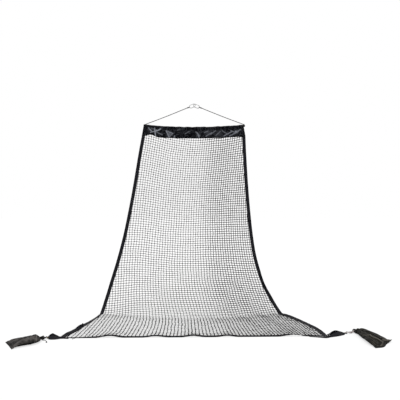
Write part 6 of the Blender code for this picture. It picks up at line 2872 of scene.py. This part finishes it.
    def turns(self) -> tuple[np.ndarray, np.ndarray]:
        """Winds the cord round the neck.

        Args:
            None.

        Returns:
            The points and faces.
        """
        bag = self.bag
        centre = bag.neck + UP * bag.neck_lift
        share = np.linspace(0.0, 1.0, 97)
        angle = 2 * np.pi * 2.0 * share
        reach = bag.neck_half + self.neck_ease + self.radius
        place = (share - 0.5) * 2 * 2 * self.radius * self.turn_pitch
        wound = centre + bag.along * place[:, None]
        wound = wound + reach * around(angle, bag.across, UP)
        return rope_arrays(wound, self.radius, self.lay)


def dress_cad(nodes: dict, finishes: dict[str, bpy.types.Material]) -> None:
    """Gives the parts that are carried over from the CAD their materials.

    Args:
        nodes: The CAD's objects by name.
        finishes: The material of each kind of part, by the end of its name.

    Returns:
        Nothing.
    """
    for name, node in nodes.items():
        for ending, material in finishes.items():
            if name.endswith(ending):
                node.data.materials.clear()
                node.data.materials.append(material)


# How each tape, tail and tie lies, left and right


LEFT_BINDING_ROLLS = ((0.0, 0.0), (2.70, 0.0), (2.84, 13.0), (3.02, 12.0), (3.18, 2.0), (3.32, -10.0),
                      (3.38, -26.0), (3.45, -86.0), (3.49, -80.0), (3.56, -30.0), (3.66, -22.0),
                      (3.80, -30.0),
                      (3.87, -16.0), (3.93, 0.0))
RIGHT_BINDING_ROLLS = ((0.0, 0.0), (2.10, 0.0), (2.2, 34.0), (2.42, 34.0), (2.55, 0.0), (2.74, 4.0),
                       (2.84, 22.0), (3.2, 15.0), (3.6, 9.0), (3.82, 6.0), (3.93, 0.0))
LEFT_TAIL_REACHES = ((-0.045, 0.025, 0.025), (-0.089, 0.052, 0.030), (-0.123, 0.040, 0.028))
LEFT_TAIL_ROLLS = (0.0, 55.0, 78.0, 60.0, 0.0)
LEFT_EYELET = (-0.133, -0.009)
LEFT_LINING_LOW = ((0.120, -0.025, 0.0018), (0.060, -0.018, 0.0018), (0.020, -0.024, 0.0018),
                   (-0.012, -0.044, 0.0018), (-0.050, -0.054, 0.0018), (-0.086, -0.052, 0.0018),
                   (-0.116, -0.038, 0.0018))
LEFT_LINING_TOP = ((0.120, -0.023, 0.007), (0.060, -0.014, 0.019), (0.018, -0.015, 0.026),
                   (-0.012, -0.014, 0.032), (-0.050, -0.006, 0.034), (-0.086, 0.006, 0.036),
                   (-0.113, -0.014, 0.022))
RIGHT_TAIL_REACHES = ((0.055, 0.058, 0.027), (0.125, 0.093, 0.030), (0.193, 0.105, 0.025))
RIGHT_TAIL_ROLLS = (0.0, -60.0, -76.0, -50.0, 0.0)
RIGHT_EYELET = (0.245, 0.109)
RIGHT_LINING_LOW = ((-0.229, -0.026, 0.0018), (-0.117, -0.060, 0.0018), (-0.039, -0.082, 0.0018),
                    (0.024, -0.049, 0.0018), (0.070, -0.028, 0.0018), (0.124, -0.005, 0.0018),
                    (0.185, 0.034, 0.0018), (0.222, 0.060, 0.0018))
RIGHT_LINING_TOP = ((-0.229, -0.024, 0.006), (-0.117, -0.054, 0.014), (-0.039, -0.068, 0.020),
                    (0.024, -0.030, 0.027), (0.080, 0.018, 0.032), (0.145, 0.058, 0.044),
                    (0.188, 0.072, 0.028), (0.220, 0.080, 0.012))
LEFT_TIE_REACHES = ((-0.017, -0.036, 0.0215), (-0.031, -0.064, 0.0160))
RIGHT_TIE_REACHES = ((0.028, -0.011, 0.0200), (0.064, 0.006, 0.0100), (0.093, 0.026, 0.0150))
LOOSE_END_REACHES = ((0.024, -0.024, 0.010), (0.040, -0.028, 0.0042), (0.062, -0.032, 0.0034),
                     (0.085, -0.058, 0.0034), (0.098, -0.086, 0.0034), (0.106, -0.110, 0.0038))


def main() -> None:
    """Builds the net, piece by piece.

    Args:
        None.

    Returns:
        Nothing.
    """
    logging.basicConfig(level=logging.INFO, format="%(name)s: %(message)s")
    bpy.context.scene.view_settings.view_transform = "Standard"
    studio = Studio()
    studio.place_camera()
    cord = BLACK_CORD.build()
    white = WHITE_CORD.build()
    for side in Side:
        log.info("hanging cord: %d pieces", len(HangingCord(side).build(cord)))
    left_tail = CornerTail(Side.LEFT, LEFT_TAIL_REACHES, LEFT_TAIL_ROLLS, LEFT_EYELET, LEFT_LINING_LOW,
                           LEFT_LINING_TOP)
    right_tail = CornerTail(Side.RIGHT, RIGHT_TAIL_REACHES, RIGHT_TAIL_ROLLS, RIGHT_EYELET, RIGHT_LINING_LOW,
                            RIGHT_LINING_TOP)
    left_bag = SandBag(Side.LEFT, tuple(left_tail.eyelet), neck_reach=(-0.066, -0.048), heading_deg=219.5,
                       lean=0.10, length=0.366, half=0.160, height=0.072, rows=LEFT_BAG_ROWS,
                       slopes=LEFT_BAG_SLOPES, folds=LEFT_BAG_FOLDS, shifts=LEVEL_SHIFTS,
                       end_bulge=(0.0, 1.0, -0.006), tip_lift=0.0)
    right_bag = SandBag(Side.RIGHT, tuple(right_tail.eyelet), neck_reach=(0.142, 0.046), heading_deg=286.5,
                        lean=-0.46, length=0.530, half=0.174, height=0.070, rows=RIGHT_BAG_ROWS,
                        slopes=RIGHT_BAG_SLOPES, folds=RIGHT_BAG_FOLDS, shifts=RIGHT_BAG_SHIFTS,
                        end_bulge=(-0.30, 0.75, 0.040), tip_lift=0.028)
    left_tie = TieCord(left_bag, LEFT_TIE_REACHES, loops=4, spread=0.0058, fullness=1.9)
    right_tie = TieCord(right_bag, RIGHT_TIE_REACHES, loops=5, spread=0.0100, fullness=1.3)
    log.info("left tie: %d pieces", len(left_tie.build(cord, "cord")))
    log.info("left loose end: %d pieces", len(left_tie.loose_end(LOOSE_END_REACHES, cord)))
    log.info("right tie: %d pieces", len(right_tie.build(white, "white_cord")))
    studio.light()
    studio.lay_floor()
    twine = TWINE.build()
    net = Netting().build(twine)
    for piece in net:
        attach(piece, "curtain")
    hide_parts("netting")
    log.info("netting: %d pieces", len(net))
    webbing = WEBBING.build()
    coated = COATED.build()
    for side, rolls in ((Side.LEFT, LEFT_BINDING_ROLLS), (Side.RIGHT, RIGHT_BINDING_ROLLS)):
        log.info("side binding: %d pieces", len(SideBinding(side, rolls).build(webbing, cord)))
    log.info("bottom binding: %d pieces", len(BottomBinding().build(webbing, cord)))
    log.info("sleeve: %d pieces", len(TopSleeve().build(coated, cord)))
    brass = BRASS.build()
    for tail in (left_tail, right_tail):
        log.info("corner tail: %d pieces", len(tail.build(webbing, cord, brass)))
    log.info("peg loop: %s", PegLoop().build(cord).name)
    for bag, bag_cloth in ((left_bag, GREY_BAG_CLOTH.build()), (right_bag, BLACK_BAG_CLOTH.build())):
        log.info("bag: %d pieces", len(bag.build(bag_cloth, cord)))
    steel = HOOK_STEEL.build()
    pole = POLE_STEEL.build()
    dress_cad(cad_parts, {
        "_hook_body": steel, "_hook_gate": steel, "_hook_pin": steel, "_hook_spring": steel,
        "_tube": pole, "_spigot": pole, "_end_cap": CAP_PLASTIC.build(),
    })


if __name__ == "__main__":
    main()
